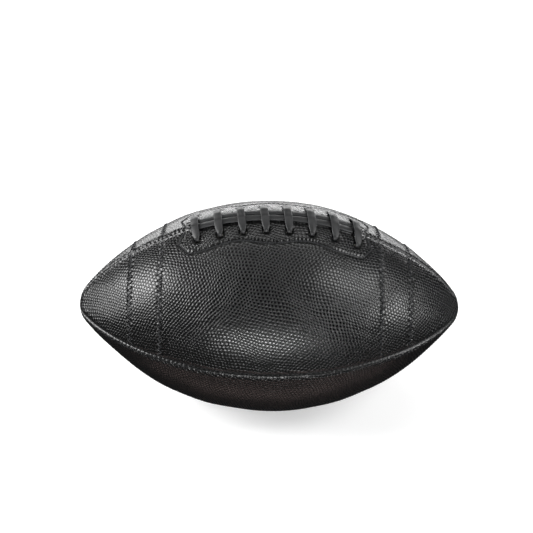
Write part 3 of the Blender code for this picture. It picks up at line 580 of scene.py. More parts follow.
def edgeStations(plan):
    # Along both edges, closer together round a seam notch
    count = int((plan["last"] - plan["first"]) / (seams["stitch"] / 4))
    stations = np.linspace(plan["first"], plan["last"], count + 1)
    for place, radius in plan["notches"]:
        stations = stations[np.abs(stations - place) > radius + 0.25]
        stations = np.concatenate([stations, place + radius * np.cos(np.linspace(0, math.pi, 13))])
    for edge in np.ravel(plan["recesses"]):
        stations = stations[np.abs(stations - edge) > 0.3]
        stations = np.concatenate([stations, [edge - cut["step"], edge + cut["step"]]])
    return np.unique(np.round(stations, 5))


def detailPoints(plan):
    # Points for what is cut, sewn or pressed in, and tests that keep the lattice off them
    lastStep = cut["edgeSteps"][-1]
    points = []
    tests = [lambda u, v: seamDistance(plan, u, v) < lastStep * smallAt(u) + cut["margin"],
             lambda u, v: ~pastHoles(plan, np.stack([u, v], axis=1), cut["holeMargin"])]
    for place, over, radius in plan["holes"]:
        points += [ringOf(place, over, radius + away, sides) for away, sides in cut["holeRings"]]
    along, down = cut["notchMargin"]
    for place, radius in plan["notches"]:
        tests.append(lambda u, v, p=place, r=radius: (np.abs(u - p) < r + along) & (
            plan["topSide"] * v > halfWidthAt(u) - r - down))
    for places in plan["pits"]:
        for place, over in places:
            points.append(np.array([[place, over]]))
            points += [ringOf(place, over, away, sides) for away, sides in cut["pitRings"]]
        tests.append(lambda u, v, s=places: nearestOf(s, u, v) < cut["pitMargin"])
    for line, _, reach in plan["grooves"]:
        middle = resample(line, cut["grooveStep"])
        ahead = unitRows(np.gradient(middle, axis=0))
        aside = np.stack([-ahead[:, 1], ahead[:, 0]], axis=1)
        reach = reach / cut["grooveReach"]
        points += [middle + aside * away * reach for away in cut["grooveRows"]]
        reach = cut["grooveRows"][-1] * reach + 0.35
        tests.append(lambda u, v, s=line, r=reach: distanceToLine(u, v, s) < r)
    ends = []
    if plan["bevel"]:
        ends = [end + sign * d for end, sign in ((plan["first"], 1), (plan["last"], -1))
                for d in cut["bevel"]]
    ends += [edge + step for edge in np.ravel(plan["recesses"]) for step in (-cut["step"], cut["step"])]
    for end in ends:
        edge = float(halfWidthAt(end)) - (lastStep + cut["margin"])
        points.append(rowOf(end, -edge, edge, int(2 * edge / cut["acrossStep"])))
        tests.append(lambda u, v, e=end: np.abs(u - e) < cut["margin"])
    for inner, outer in plan["recesses"]:
        for u in np.linspace(inner, outer, 8)[1:-1]:
            edge = float(halfWidthAt(u)) - lastStep - 1.5
            points.append(rowOf(u, -edge, edge, 18))
        tests.append(lambda u, v, i=inner, o=outer: (u > i) & (u < o))
    return (np.concatenate(points) if points else np.zeros((0, 2))), tests


def latticePoints(plan, tests):
    # One point on top of every dome and some in its valleys
    spacing = pebbles["pitch"] / pebbles["cells"]
    rowStep = spacing * math.sqrt(3.0) / 2
    reach = max(abs(plan["first"]), abs(plan["last"])) + pebbles["spare"]
    rows, columns = int(reach / rowStep), int(reach / spacing)
    j, i = np.meshgrid(np.arange(-rows, rows + 1), np.arange(-columns, columns + 1))
    u, v = latticeToPanel(((i + 0.5 * (j % 2)) * spacing).ravel(), (j * rowStep).ravel(), plan["waves"])
    keep = ((u > plan["first"] + cut["margin"]) & (u < plan["last"] - cut["margin"])
            & (np.abs(v) < pebbles["reach"]))
    u, v = u[keep], v[keep]
    for test in tests:
        away = ~test(u, v)
        u, v = u[away], v[away]
    return np.stack([u, v], axis=1)


def keepFaces(plan, vertices, faces, inset=0.0, slack=0.0):
    # Drops what the fill put past a seam or over a hole
    middle = vertices[np.array(faces)].mean(axis=1)
    limit = inset * smallAt(middle[:, 0], 0.0) * cut["insetShare"] - slack
    good = ((seamDistance(plan, middle[:, 0], middle[:, 1]) > limit)
            & pastHoles(plan, middle, cut["holeSlack"]))
    return [face for face, fine in zip(faces, good) if fine]


def underPoints(plan, under, inset):
    coarse = []
    near, far = cut["underEnds"]
    for x in np.arange(plan["first"] + near, plan["last"] - far, cut["underStep"]):
        edge = float(halfWidthAt(x)) - inset - cut["underMargin"]
        if edge > cut["underLeast"]:
            coarse.append(rowOf(x, -edge, edge, max(2, int(edge / cut["underStep"] * 2))))
    coarse = np.concatenate(coarse)
    margin = cut["underHoleMargin"]
    coarse = coarse[pastHoles(plan, coarse, margin)]
    rings = [ringOf(*hole, cut["holeSides"]) for hole in plan["holes"]]
    for place, radius in plan["notches"]:
        limit = halfWidthAt(coarse[:, 0]) - cut["underNotchDrop"]
        coarse = coarse[~((np.abs(coarse[:, 0] - place) < radius + margin)
                          & (plan["topSide"] * coarse[:, 1] > limit))]
    return np.concatenate([under] + rings + [coarse])


def makeLeather(name, plan, material, node):
    stations = edgeStations(plan)
    n = len(stations)
    low, high = seamLine(plan, stations, -1), seamLine(plan, stations, 1)
    strips = np.concatenate([np.stack([stations, edge + sign * step * smallAt(stations)], axis=1)
                             for step in cut["edgeSteps"] for edge, sign in ((low, 1), (high, -1))])
    strips = strips[pastHoles(plan, strips, cut["stripMargin"])]
    loose, tests = detailPoints(plan)
    lattice = latticePoints(plan, tests)
    loose = loose[(loose[:, 0] >= plan["first"]) & (loose[:, 0] <= plan["last"])
                  & (seamDistance(plan, loose[:, 0], loose[:, 1]) > cut["looseMargin"])]
    inner = np.concatenate([strips, loose])
    inner = inner[np.abs(inner[:, :1] - stations[[0, -1]]).min(axis=1) >= cut["tolerance"]]
    counts = np.maximum(3, ((high - low) / cut["acrossStep"]).astype(int))
    endRows = [rowOf(stations[end], low[end], high[end], counts[end])[1:-1] for end in (0, -1)]
    border = np.concatenate([np.stack([stations, low], axis=1), endRows[1],
                             np.stack([stations, high], axis=1)[::-1], endRows[0][::-1]])
    borderCount = len(border)
    edges = [(k, (k + 1) % borderCount) for k in range(borderCount)]
    flat, faces, topOf = fillPlane(np.concatenate([border, inner, lattice]), edges)
    faces = keepFaces(plan, flat, faces)
    lift, a, b, printed, worn = shapeLeather(plan, flat[:, 0], flat[:, 1])

    # The under side has the same border, set in by the width of the turned-in edge
    inset = ball["leather"] if plan["flange"] else 0.0
    under = border.copy()
    under[:, 1] -= np.sign(under[:, 1]) * np.minimum(inset * smallAt(under[:, 0], 0.0),
                                                     0.3 * np.abs(under[:, 1]))
    flatUnder, facesUnder, underOf = fillPlane(underPoints(plan, under, inset), edges)
    facesUnder = keepFaces(plan, flatUnder, facesUnder, inset, 0.02)
    if plan["flange"]:
        underLift = -plan["thickness"] * np.maximum(smallAt(flatUnder[:, 0], 0.1), 0.5)
    else:
        underLift = shapeUnder(plan, flatUnder) - plan["thickness"]

    def placed(points, lift):
        angle = plan["start"] + math.pi / 4 + points[:, 1] / np.maximum(radiusAt(points[:, 0]), 1e-3)
        return surface(points[:, 0], angle, lift) + seamShift(plan["start"])

    base = len(flat)
    underOf = {source: base + k for source, k in underOf.items()}
    vertices = [placed(flat, lift), placed(flatUnder, underLift)]
    rings = [[topOf[k] for k in range(borderCount)], [underOf[k] for k in range(borderCount)]]
    if plan["flange"]:          # the edge turns in: down outside, across and up inside
        depth = -plan["flange"] * smallAt(border[:, 0], 0.1)
        vertices += [placed(border, depth), placed(under, depth)]
        total = base + len(flatUnder)
        rings[1:1] = [range(total + k * borderCount, total + (k + 1) * borderCount) for k in (0, 1)]
    corners = (0, n - 1, n + len(endRows[1]), 2 * n + len(endRows[1]) - 1)
    walls = []
    for k in range(borderCount):
        after = (k + 1) % borderCount
        onEnd = corners[1] <= k < corners[2] or k >= corners[3]
        for upper, lower in [(rings[0], rings[-1])] if onEnd else zip(rings, rings[1:]):
            walls.append((upper[k], lower[k], lower[after], upper[after]))
    if plan["flange"]:
        walls += [tuple(ring[k] for ring in rings) for k in corners]
    sides = cut["holeSides"]
    for index, hole in enumerate(plan["holes"]):
        upper = [int(np.argmin(np.hypot(flat[:, 0] - p, flat[:, 1] - q))) for p, q in ringOf(*hole, sides)]
        lower = [underOf[borderCount + index * sides + k] for k in range(sides)]
        for k in range(sides):
            after = (k + 1) % sides
            walls.append((upper[after], lower[after], lower[k], upper[k]))
    vertices = np.concatenate(vertices)
    allFaces = faces + walls + [tuple(base + k for k in reversed(face)) for face in facesUnder]

    piece = newPiece(name, vertices, allFaces, material, node)
    spare = len(vertices) - base
    tail = np.concatenate([flatUnder, border, under]) if plan["flange"] else flatUnder
    place = np.concatenate([np.stack([a, b], axis=1), tail])
    addNumbers(piece, "pebblePlace", np.pad(place, ((0, 0), (0, 1))))
    addNumbers(piece, "pebblePrint", np.pad(printed, (0, spare)))
    addNumbers(piece, "rubAndSheen", np.pad(worn, (0, spare)))
    layMap(piece, plan, flat, tail, len(faces), len(walls))
    print(name, len(vertices), "vertices", len(allFaces), "faces")


def shapeUnder(plan, flat):
    # A stripe's lower face follows the seam roll, without the print
    width = halfWidthAt(flat[:, 0])
    lift = unevenness(flat[:, 0], flat[:, 1], plan["seed"]) * 0.5
    for side in (-1, 1):
        lift -= seams["depth"] * roll(1.0 - np.maximum(width - side * flat[:, 1], 0.0) / seams["roll"])
    return lift


def layMap(piece, plan, flat, tail, topCount, wallCount):
    # A flat map of the leather for baking: outer face above, walls and under side below
    mesh = piece.data
    layer = mesh.uv_layers.new(name="OFBake")
    places = np.concatenate([flat, tail])
    height = 2 * float(np.max(halfWidthAt(flat[:, 0])))
    start, size = flatMap["along"]
    u = start + size * (places[:, 0] - plan["first"]) / (plan["last"] - plan["first"])
    v = (places[:, 1] + height / 2) / height
    loops = np.zeros(len(mesh.loops), np.int32)
    mesh.loops.foreach_get("vertex_index", loops)
    starts = np.zeros(len(mesh.polygons), np.int32)
    mesh.polygons.foreach_get("loop_start", starts)
    wall, under = starts[topCount], starts[topCount + wallCount]
    level = np.where(loops < len(flat), flatMap["wallTop"], flatMap["wallFoot"])
    out = np.stack([u[loops], level], axis=1).astype(np.float32)
    for island, (start, size) in ((slice(wall), flatMap["outer"]), (slice(under, None), flatMap["under"])):
        out[island, 1] = start + size * v[loops[island]]
    layer.data.foreach_set("uv", out.ravel())


# Materials. Scales are per millimetre where the pattern's place is an attribute of the mesh.

def attribute(tree, name, output="Fac"):
    return addNode(tree, "Attribute", {"attribute_name": name})[output]


def objectPlace(tree):
    return addNode(tree, "TexCoord", {})["Object"]


def compute(tree, operation, *values):
    return addNode(tree, "Math", {"operation": operation, **dict(enumerate(values))})[0]


def remap(tree, source, low, high, first, last, **settings):
    return addNode(tree, "MapRange", {**settings, 0: source, 1: low, 2: high, 3: first, 4: last})[0]


def noise(tree, place, scale, detail, roughness=0.5):
    return addNode(tree, "TexNoise", {"Vector": place, "Scale": scale, "Detail": detail,
                                      "Roughness": roughness})[0]


def blend(tree, share, first, second):
    # Each colour is a hex string or a socket
    first, second = (linear(c) if isinstance(c, str) else c for c in (first, second))
    return addNode(tree, "Mix", {"data_type": "RGBA", 0: share, 6: first, 7: second})[2]


def relief(tree, height, strength, depth, **below):
    # Its depth is in millimetres
    return addNode(tree, "Bump", {"Height": height, "Strength": strength, "Distance": depth * 0.001,
                                  **below})[0]


def newMaterial(name):
    material = bpy.data.materials.new(name)
    material.use_nodes = True
    material.node_tree.nodes.clear()
    return material, material.node_tree


def closeMaterial(material, values):
    shader = addNode(material.node_tree, "BsdfPrincipled", values)
    addNode(material.node_tree, "OutputMaterial", {"Surface": shader[0]})
    return material


leatherLook = {
    # valley and top: partly dye, partly painted shade in the valleys and painted light on the tops
    "valleyDyeShade": "#030303",
    "top": "#0e0f10",
    # the band beside the seams: lighter for wear and as a painted highlight on the seam lip
    "rubSheen": "#191a1b",
    "rubSheenShare": 0.45,
    "cloudShare": 0.35,
    "roughTop": 0.17,
    "roughValley": 0.33,
    "grain": 3.2,               # hair cells on the domes, about 0.3 mm across
    "clouds": 0.033,            # dye takes unevenly over some 30 mm
}


def leatherMaterial(name, look):
    # Pebbled cowhide, pressed on a plate and finished with black pigment and a thin acrylic coat.
    # It gives the eye small rounded highlights on dark, duller valleys. Its colour is partly dye and partly
    # painted light: lighter dome tops and near-black valleys stand in for light and shade.
    material, tree = newMaterial(name)
    place, prints = attribute(tree, "pebblePlace", "Vector"), attribute(tree, "pebblePrint")
    spot = addNode(tree, "SeparateXYZ", {0: place})
    pitch, row = pebbles["pitch"], pebbles["pitch"] * math.sqrt(3.0)
    reach = []
    for shift in (0.0, 0.5):
        sides = {axis: compute(tree, "WRAP", compute(tree, "ADD", spot[axis], shift * size),
                               size / 2, -size / 2) for axis, size in ((0, pitch), (1, row))}
        corner = addNode(tree, "CombineXYZ", sides)[0]
        reach.append(addNode(tree, "VectorMath", {"operation": "LENGTH", 0: corner})["Value"])
    nearest = compute(tree, "MINIMUM", *reach)
    dome = remap(tree, nearest, 0.0, pebbles["domeReach"] * pitch, 1.0, 0.0,
                 interpolation_type="SMOOTHSTEP")
    printed = compute(tree, "MULTIPLY", dome, prints)
    # Each pebble is a cap: 1 - q^2, q from its middle to its rim
    rim = remap(tree, nearest, 0.0, pebbles["rim"], 0.0, 1.0)
    cap = compute(tree, "SUBTRACT", 1.0, compute(tree, "MULTIPLY", rim, rim))
    crowned = relief(tree, compute(tree, "MULTIPLY", cap, prints), 1.0, pebbles["crown"])
    grain = noise(tree, place, look["grain"], 4.0, 0.6)
    clouds = remap(tree, noise(tree, place, look["clouds"], 3.0, 0.55), 0.35, 0.7, 0.0, look["cloudShare"])
    # Weak print gives the near-black valley colour: partly dye, partly painted shade
    dyeAndValleyShade = blend(tree, clouds, blend(tree, printed, look["valleyDyeShade"], look["top"]), look["valleyDyeShade"])
    # Lighter band beside the seams: partly wear, partly painted highlight
    rubAndSheen = compute(tree, "MULTIPLY", attribute(tree, "rubAndSheen"), look["rubSheenShare"])
    dull = remap(tree, printed, 0.0, 0.8, look["roughValley"], look["roughTop"])
    return closeMaterial(material, {"IOR": 1.47, "Base Color": blend(tree, rubAndSheen, dyeAndValleyShade, look["rubSheen"]),
                                    "Roughness": compute(tree, "MULTIPLY_ADD", grain, 0.08, dull),
                                    "Normal": relief(tree, grain, 0.6, 0.03, Normal=crowned)})


laceLook = {
    "base": "#08090a",
    "worn": "#1b1c1e",
    # edge: a paler colour along the band's edges, a painted highlight
    "edge": "#3a3b3d",
    "edgeHighlightShare": 0.35,
    "rough": 0.46,
    "streaks": (2.6, 0.09, 1.0),    # across and along the band
    "skin": 2.2,
}


def laceMaterial(look):
    # Vinyl-coated lace, calendered flat. The rollers leave a fine lengthwise grain and a satin face.
    material, tree = newMaterial("calendered_lace_vinyl")
    place = attribute(tree, "lacePlace", "Vector")
    stretched = addNode(tree, "Mapping", {"Vector": place, "Scale": look["streaks"]})[0]
    streak = noise(tree, stretched, 1.0, 5.0, 0.65)
    tone = blend(tree, remap(tree, streak, 0.35, 0.75, 0.0, 0.7), look["base"], look["worn"])
    # The band is painted paler towards its edges: a painted highlight
    edge = compute(tree, "MULTIPLY", attribute(tree, "laceEdgeHighlight"), look["edgeHighlightShare"])
    rough = remap(tree, streak, 0.3, 0.7, look["rough"] - 0.06, look["rough"] + 0.1)
    streaked = relief(tree, streak, 0.7, 0.12)
    skin = relief(tree, noise(tree, place, look["skin"], 3.0), 0.4, 0.04, Normal=streaked)
    return closeMaterial(material, {"IOR": 1.5, "Base Color": blend(tree, edge, tone, look["edge"]),
                                    "Roughness": rough, "Normal": skin})


threadLook = {
    # dark and light: painted shade between the plies and painted highlight on their crests
    "dark": "#030407",
    "light": "#0e1119",
    "plies": 3.0,
    "twist": 1.1,               # length of one turn of the plies, in millimetres
    "fuzz": 4.0,
    "rough": 0.72,
}


def threadMaterial(name, look):
    # Bonded nylon thread, twisted from three plies and waxed. Slanting plies catch small lights, and the
    # tone is painted too: lighter on each ply's crest as a painted highlight and darker between plies as
    # painted shade.
    material, tree = newMaterial(name)
    place = attribute(tree, "threadPlace", "Vector")
    spot = addNode(tree, "SeparateXYZ", {0: place})
    climb = compute(tree, "MULTIPLY", spot[1], 2 * math.pi / look["twist"])
    ply = compute(tree, "SINE", compute(tree, "MULTIPLY_ADD", spot[0], look["plies"], climb))
    # Painted highlight on the ply crests, painted shade between them
    tone = blend(tree, remap(tree, ply, -1.0, 1.0, 0.0, 1.0), look["dark"], look["light"])
    fuzz = noise(tree, place, look["fuzz"], 3.0)
    rough = remap(tree, fuzz, 0.2, 0.8, look["rough"] - 0.1, look["rough"] + 0.15)
    return closeMaterial(material, {"IOR": 1.53, "Sheen Weight": 0.15, "Sheen Roughness": 0.4,
                                    "Base Color": tone, "Roughness": rough,
                                    "Normal": relief(tree, ply, 0.8, 0.08)})


def rubberMaterial(name, dark, light, roughness):
    # Moulded butyl rubber with a dusting of talc: an even matte face with faint cloudy patches.
    material, tree = newMaterial(name)
    place = objectPlace(tree)
    # Talc clouds of about 8 mm and a moulding texture of about 0.5 mm; object units are metres
    cloud = noise(tree, place, 125.0, 3.0)
    skin = noise(tree, place, 2000.0, 2.0)
    tone = blend(tree, remap(tree, cloud, 0.35, 0.75, 0.0, 1.0), dark, light)
    rough = remap(tree, cloud, 0.3, 0.7, roughness - 0.05, roughness + 0.12)
    return closeMaterial(material, {"IOR": 1.52, "Base Color": tone, "Roughness": rough,
                                    "Normal": relief(tree, skin, 0.5, 0.04)})


def clothMaterial(name, dark, light, spacing):
    # Woven cotton duck, glued in layers behind the leather: a plain weave with matte threads.
    material, tree = newMaterial(name)
    turns = 2 * math.pi / spacing * 1000.0      # thread spacing is in millimetres
    spot = addNode(tree, "SeparateXYZ", {0: objectPlace(tree)})
    around = compute(tree, "ADD", spot[1], spot[2])
    warp, weft = (compute(tree, "SINE", compute(tree, "MULTIPLY", way, turns)) for way in (spot[0], around))
    weave = compute(tree, "MULTIPLY", warp, weft)
    tone = blend(tree, remap(tree, weave, -1.0, 1.0, 0.0, 1.0), dark, light)
    return closeMaterial(material, {"Roughness": 0.9, "Sheen Weight": 0.3, "Base Color": tone,
                                    "Normal": relief(tree, weave, 0.8, 0.1)})


def splitMaterial(name, dark, light):
    # Split leather, the fibrous under layer of the hide: a short matte nap with mottled dye.
    material, tree = newMaterial(name)
    place = objectPlace(tree)
    # Nap fibres of about 0.4 mm, mottling of about 5 mm; object units are metres
    nap = noise(tree, place, 2500.0, 4.0, 0.7)
    mottle = remap(tree, noise(tree, place, 200.0, 2.0), 0.3, 0.7, 0.0, 1.0)
    return closeMaterial(material, {"Roughness": 0.92, "Sheen Weight": 0.2,
                                    "Base Color": blend(tree, mottle, dark, light),
                                    "Normal": relief(tree, nap, 0.8, 0.12)})


sweep = {
    # radius and height of its rings, in metres: flat, a quarter turn, then the wall
    "rings": [(1.0, 0.0), (3.0, 0.0), (5.0, 0.0), (5.4, 0.08), (5.7, 0.3), (5.92, 0.6), (6.0, 1.0),
              (6.0, 6.0)],
    "sides": 96,
    "drop": 0.0008,             # the pebbled ball reaches this far below its solids
    "glow": 0.42,
}


def floorMaterial():
    # Opal acrylic sweep, lit through from behind: pale and even, with only soft shadows on it
    material, tree = newMaterial("opal_acrylic_sweep")
    material.cycles.emission_sampling = "NONE"
    tooth = noise(tree, objectPlace(tree), 900.0, 2.0)
    return closeMaterial(material, {"Roughness": 0.95, "Specular IOR Level": 0.1,
                                    "Base Color": blend(tree, tooth, "#dedede", "#e1e1e1"),
                                    "Emission Color": linear("#fdfdfd"),
                                    "Emission Strength": sweep["glow"]})


panelLeather = leatherMaterial("pebbled_cowhide", leatherLook)
stripeLeather = leatherMaterial("pebbled_stripe_cowhide", leatherLook)
laceVinyl = laceMaterial(laceLook)
stitchNylon = threadMaterial("waxed_nylon_stitching", threadLook)
# its light tone is the painted highlight on the ply crests
seamNylon = threadMaterial("waxed_nylon_seam_thread", dict(threadLook, light="#0e0f13"))
bladderButyl = rubberMaterial("moulded_butyl_rubber", "#121212", "#1d1d1c", 0.55)
valveButyl = rubberMaterial("moulded_valve_rubber", "#5c5c5a", "#6d6d6a", 0.55)
facingSplit = splitMaterial("split_leather_facing", "#141312", "#23211f")
liningCotton = clothMaterial("woven_cotton_lining", "#8f8d84", "#bdbab0", 0.8)
guardCotton = clothMaterial("woven_cotton_guard", "#3a3a38", "#5a5955", 0.7)
print("materials made")


# The leather: four panels and four stripes

halves = {"front": (0.0, -1), "back": (math.radians(270.0), 1)}     # start angle, side of the top seam
seeds = {"front_lace": 11, "back_lace": 12, "stripe": 20, "front_bottom": 31, "back_bottom": 32}
recessArcs = [(arcAt(stripes["inner"]) - stripes["slit"], arcAt(stripes["outer"]) + stripes["slit"])]
recessArcs.append((-recessArcs[0][1], -recessArcs[0][0]))
tipArc = halfArc - ball["tipOpening"]
stitchPlaces = {"inner": stripes["inner"] + zigzag["inset"], "outer": stripes["outer"] - zigzag["inset"]}


def padLift(topSide):
    # The facing under the leather lifts it, up to the sewn line
    line = facingLine()

    def lift(along, across):
        around = halfWidthAt(along) - topSide * across
        middle = arcAt(lacing["shift"])
        side = line[:int(np.argmax(line[:, 1] > facing["middle"] - facing["inset"] - 0.8))]
        reach = np.interp(around, side[:, 1], np.abs(side[:, 0] - middle))
        edge = np.interp(along, line[:, 0], line[:, 1])
        deep = np.minimum(reach - np.abs(along - middle), edge - around)
        return facing["swell"] * smoothStep(deep / facing["swellEase"] + 0.3)

    return lift


def acrossAt(topSide, arc, around):
    return topSide * (float(halfWidthAt(arc)) - around)


def panelPlan(start, place, **extra):
    return newPlan(start, -tipArc, tipArc, ball["leather"], ball["flange"], seeds[place], **extra)


for face, (start, topSide) in halves.items():
    holeArcs = [arcAt(place - topSide * lacing["lean"]) for place in crossingPlaces]
    holes = [(arc, acrossAt(topSide, arc, lacing["holeDistance"]), lacing["holeRadius"] - lacing["snug"])
             for arc in holeArcs]
    line = np.array([(u, acrossAt(topSide, u, d)) for u, d in facingLine()])
    plan = panelPlan(start, face + "_lace", topSide=topSide, holes=holes,
                     notches=[(arcAt(x), lacing["holeRadius"]) for x in notchPlaces],
                     recesses=recessArcs, grooves=[(line, facing["groove"], facing["grooveReach"])],
                     pad=padLift(topSide))
    makeLeather(face + "_lace_panel_leather", plan, panelLeather, face + "_lace_panel")
    for end, sign in (("left", -1), ("right", 1)):
        first, last = sorted((sign * arcAt(stripes["inner"]), sign * arcAt(stripes["outer"])))
        pits = [np.array([(u, (angle - math.pi / 4) * float(radiusAt(u)))
                          for u, angle in zigzagHoles(sign * x)]) for x in stitchPlaces.values()]
        plan = newPlan(start, first, last, stripes["thickness"], 0.0,
                       seeds["stripe"] + sign + 3 * topSide, topSide=topSide, pits=pits, bevel=True)
        makeLeather(f"{end}_{face}_stripe_leather", plan, stripeLeather, f"{end}_{face}_stripe")

for face, start in (("front", math.pi / 2), ("back", math.pi)):
    holes = [(0.0, 0.0, valve["hole"])] if face == "back" else []
    makeLeather(face + "_bottom_panel_leather", panelPlan(start, face + "_bottom", holes=holes),
                panelLeather, face + "_bottom_panel")
print("leather made")


# Threads

def makeThread(name, centres, radius, material, node):
    sides = 8
    ahead = unitRows(np.gradient(centres, axis=0))
    spare = np.cross(ahead[0], [0.0, 0.0, 1.0])
    if np.linalg.norm(spare) < 0.1:
        spare = np.cross(ahead[0], [0.0, 1.0, 0.0])
    vertices, place = [], []
    for centre, along, travelled in zip(centres, ahead, lengthsOf(centres)):
        spare = spare - along * spare.dot(along)
        spare /= np.linalg.norm(spare)
        third = np.cross(along, spare)
        for side in range(sides):
            turn = 2 * math.pi * side / sides
            vertices.append(centre + (spare * math.cos(turn) + third * math.sin(turn)) * radius)
            place.append((turn, travelled, 0.0))
    piece = newPiece(name, vertices, tubeFaces(len(centres), sides), material, node)
    addNumbers(piece, "threadPlace", place)


def stitchRun(start, stops, rise, dive, detail=8):
    # A thread that dives at each stop, given as arc length and local angle, and lies between them
    centres = []
    for (u0, t0), (u1, t1) in zip(stops, stops[1:]):
        for step in range(detail):
            share = step / detail
            u, t = u0 + (u1 - u0) * share, t0 + (t1 - t0) * share
            hump = math.sin(math.pi * share) ** 0.55
            centres.append(surface(u, start + t, -dive + (dive + rise) * hump))
    u, t = stops[-1]
    centres.append(surface(u, start + t, -dive))
    return np.array(centres) + seamShift(start)


for face, (start, topSide) in halves.items():
    for end, sign in (("left", -1), ("right", 1)):
        for row, x in stitchPlaces.items():
            centres = stitchRun(start, zigzagHoles(sign * x), zigzag["rise"], zigzag["dive"])
            name = f"{end}_{face}_stripe_{row}_stitching"
            makeThread(name + "_thread", centres, zigzag["radius"], stitchNylon, name)
    angles = [(u, d / float(radiusAt(u))) for u, d in resample(facingLine(), facing["stitch"])]
    stops = [(u, angle if topSide < 0 else math.pi / 2 - angle) for u, angle in angles]
    centres = stitchRun(start, stops, facing["rise"], facing["dive"])
    makeThread(face + "_facing_stitching_thread", centres, facing["radius"], stitchNylon,
               face + "_facing_stitching")

threadArc = arcAt(seams["threadEnd"])
seamRuns = {
    "front_seam_thread": (90.0, -threadArc, threadArc),
    "bottom_seam_thread": (180.0, -threadArc, threadArc),
    "back_seam_thread": (270.0, -threadArc, threadArc),
    "left_top_seam_thread": (0.0, -threadArc, lacedArcs[0]),
    "right_top_seam_thread": (0.0, lacedArcs[1], threadArc),
}
for name, (angle, first, last) in seamRuns.items():
    arcs = np.linspace(first, last, int((last - first) / 0.5))
    deep = (seams["threadDepth"] + seams["threadDive"] * stitchPull(arcs) ** 3) * smallAt(arcs, 0.0)
    centres = surface(arcs, math.radians(angle), -deep)
    makeThread(name + "_nylon", centres, seams["radius"], seamNylon, name)
print("threads made")


# The lace

lace = {
    "width": 5.6,
    "thickness": 1.6,
    "pinchedWidth": 3.4,
    "pinchedThickness": 2.0,
    "bend": 2.1,
    "tuck": 0.2,                # a strand's end stops this far inside its crossing
    "spacing": 0.6,             # between the two strands
    "clearance": 0.7,           # between the strands and the crossings
    "lie": 0.3,                 # the strands' height over the leather
    "inside": 6.2,              # depth of the stretches under the facing
    "step": 0.7,                # between sections of the finished band
    "sides": 20,
    "edgeHighlightPlace": 0.8,           # share of the half width where the painted edge highlight starts
    "rounding": (0.6, 0.85),    # of the section, over its width and its thickness: 1 is an oval
    "pressed": (0.14, 0.30, 0.07),      # two pressed lines near the edges: depth, place and width
    "wander": (9.0, 0.10),      # the band's edges wander a little, as cut lace does: length and swing
    # from a strand down through a notch: outward in bends, share of the strand's distance from the
    # seam, fall in bends, pinch and twist
    "notch": ((2.10, 1.0, 0.0, 0.0, 0.0), (1.50, 0.80, 0.0, 0.4, 0.0), (0.95, 0.32, 0.0, 1.0, 0.0),
              (0.50, 0.0, 0.25, 1.0, 0.0), (0.12, 0.0, 0.90, 1.0, 0.1), (0.0, 0.0, 1.50, 1.0, 0.4),
              (0.0, 0.0, 2.10, 1.0, 0.7)),
    "exits": ((0.4, 0.25, 0.8), (1.2, 0.0, 0.2)),       # inward and up in bends, and pinch
}


def laceRoute():
    # Stations: along the axis, distance round from the seam, height, pinch, twist
    lie = lace["lie"] + lace["thickness"] / 2
    over = lace["lie"] + lace["thickness"] + lace["clearance"] + lace["thickness"] / 2
    inside = -(lace["inside"] + lace["thickness"] / 2)
    strand = (lace["width"] + lace["spacing"]) / 2
    bend = lace["bend"]
    tuck = lace["width"] / 2 - lace["tuck"]
    hole, lean = lacing["holeDistance"], lacing["lean"]
    rise = strand + lace["width"] / 2
    leftNotch, rightNotch = notchPlaces
    route = []

    def dive(x, around, side, upward):
        shape = []
        for turn in (0.0, 45.0, 90.0, 90.0, 45.0, 0.0):
            upper = len(shape) < 3
            away = around - side * (bend - bend * math.sin(math.radians(turn)))
            fall = bend * (1 - math.cos(math.radians(turn)))
            shape.append((away, lie - fall if upper else inside + fall,
                          min(1.0, 0.5 + turn / 90.0) if upper else turn / 90.0))
        for away, height, pinch in reversed(shape) if upward else shape:
            route.append((x, away, height, pinch, 1.0))

    def crossing(x):
        beside = over * 0.75 + lie * 0.25
        for away, height in ((rise + bend / 2, beside), (rise - bend / 2, over), (0.0, over),
                             (-rise + bend / 2, over), (-rise - bend / 2, beside)):
            route.append((x + lean * away / hole, away, height, 0.0, 1.0))

    def notch(x, direction, side, upward):
        shape = [(x + direction * out * bend, strand * share, lie - bend * fall, pinch, twist)
                 for out, share, fall, pinch, twist in lace["notch"]]
        shape.append((x, 0.0, inside + bend, 1.0, 1.0))
        for place, around, height, pinch, twist in reversed(shape) if upward else shape:
            route.append((place, side * around, height, pinch, twist))

    for x in np.linspace(crossingPlaces[-1] - tuck, leftNotch + 3.0 * bend, 11):
        route.append((x, strand, lie, 0.0, 0.0))
    notch(leftNotch, 1, 1, False)
    for away, up, pinch in lace["exits"]:
        route.append((leftNotch, bend * away, inside + bend * up, pinch, 1.0))
    route.append(((leftNotch + crossingPlaces[0] + lean) / 2, hole / 2, inside, 0.0, 1.0))
    for index, x in enumerate(crossingPlaces):
        dive(x + lean, hole, 1, True)
        crossing(x)
        dive(x - lean, -hole, -1, False)
        if index < len(crossingPlaces) - 1:
            for share in (0.15, 0.32, 0.5, 0.68, 0.85):
                ahead = (lacing["pitch"] + 2 * lean) * smoothStep(share) - lean
                route.append((x + ahead, (hole - bend) * (2 * share - 1), inside, 0.0, 1.0))
    route.append(((rightNotch + crossingPlaces[-1] - lean) / 2, -hole / 2, inside, 0.0, 1.0))
    for away, up, pinch in reversed(lace["exits"]):
        route.append((rightNotch, -bend * away, inside + bend * up, pinch, 1.0))
    notch(rightNotch, -1, -1, True)
    for x in np.linspace(rightNotch - 3.0 * bend, crossingPlaces[0] + tuck, 11):
        route.append((x, -strand, lie, 0.0, 0.0))
    return np.array(route)


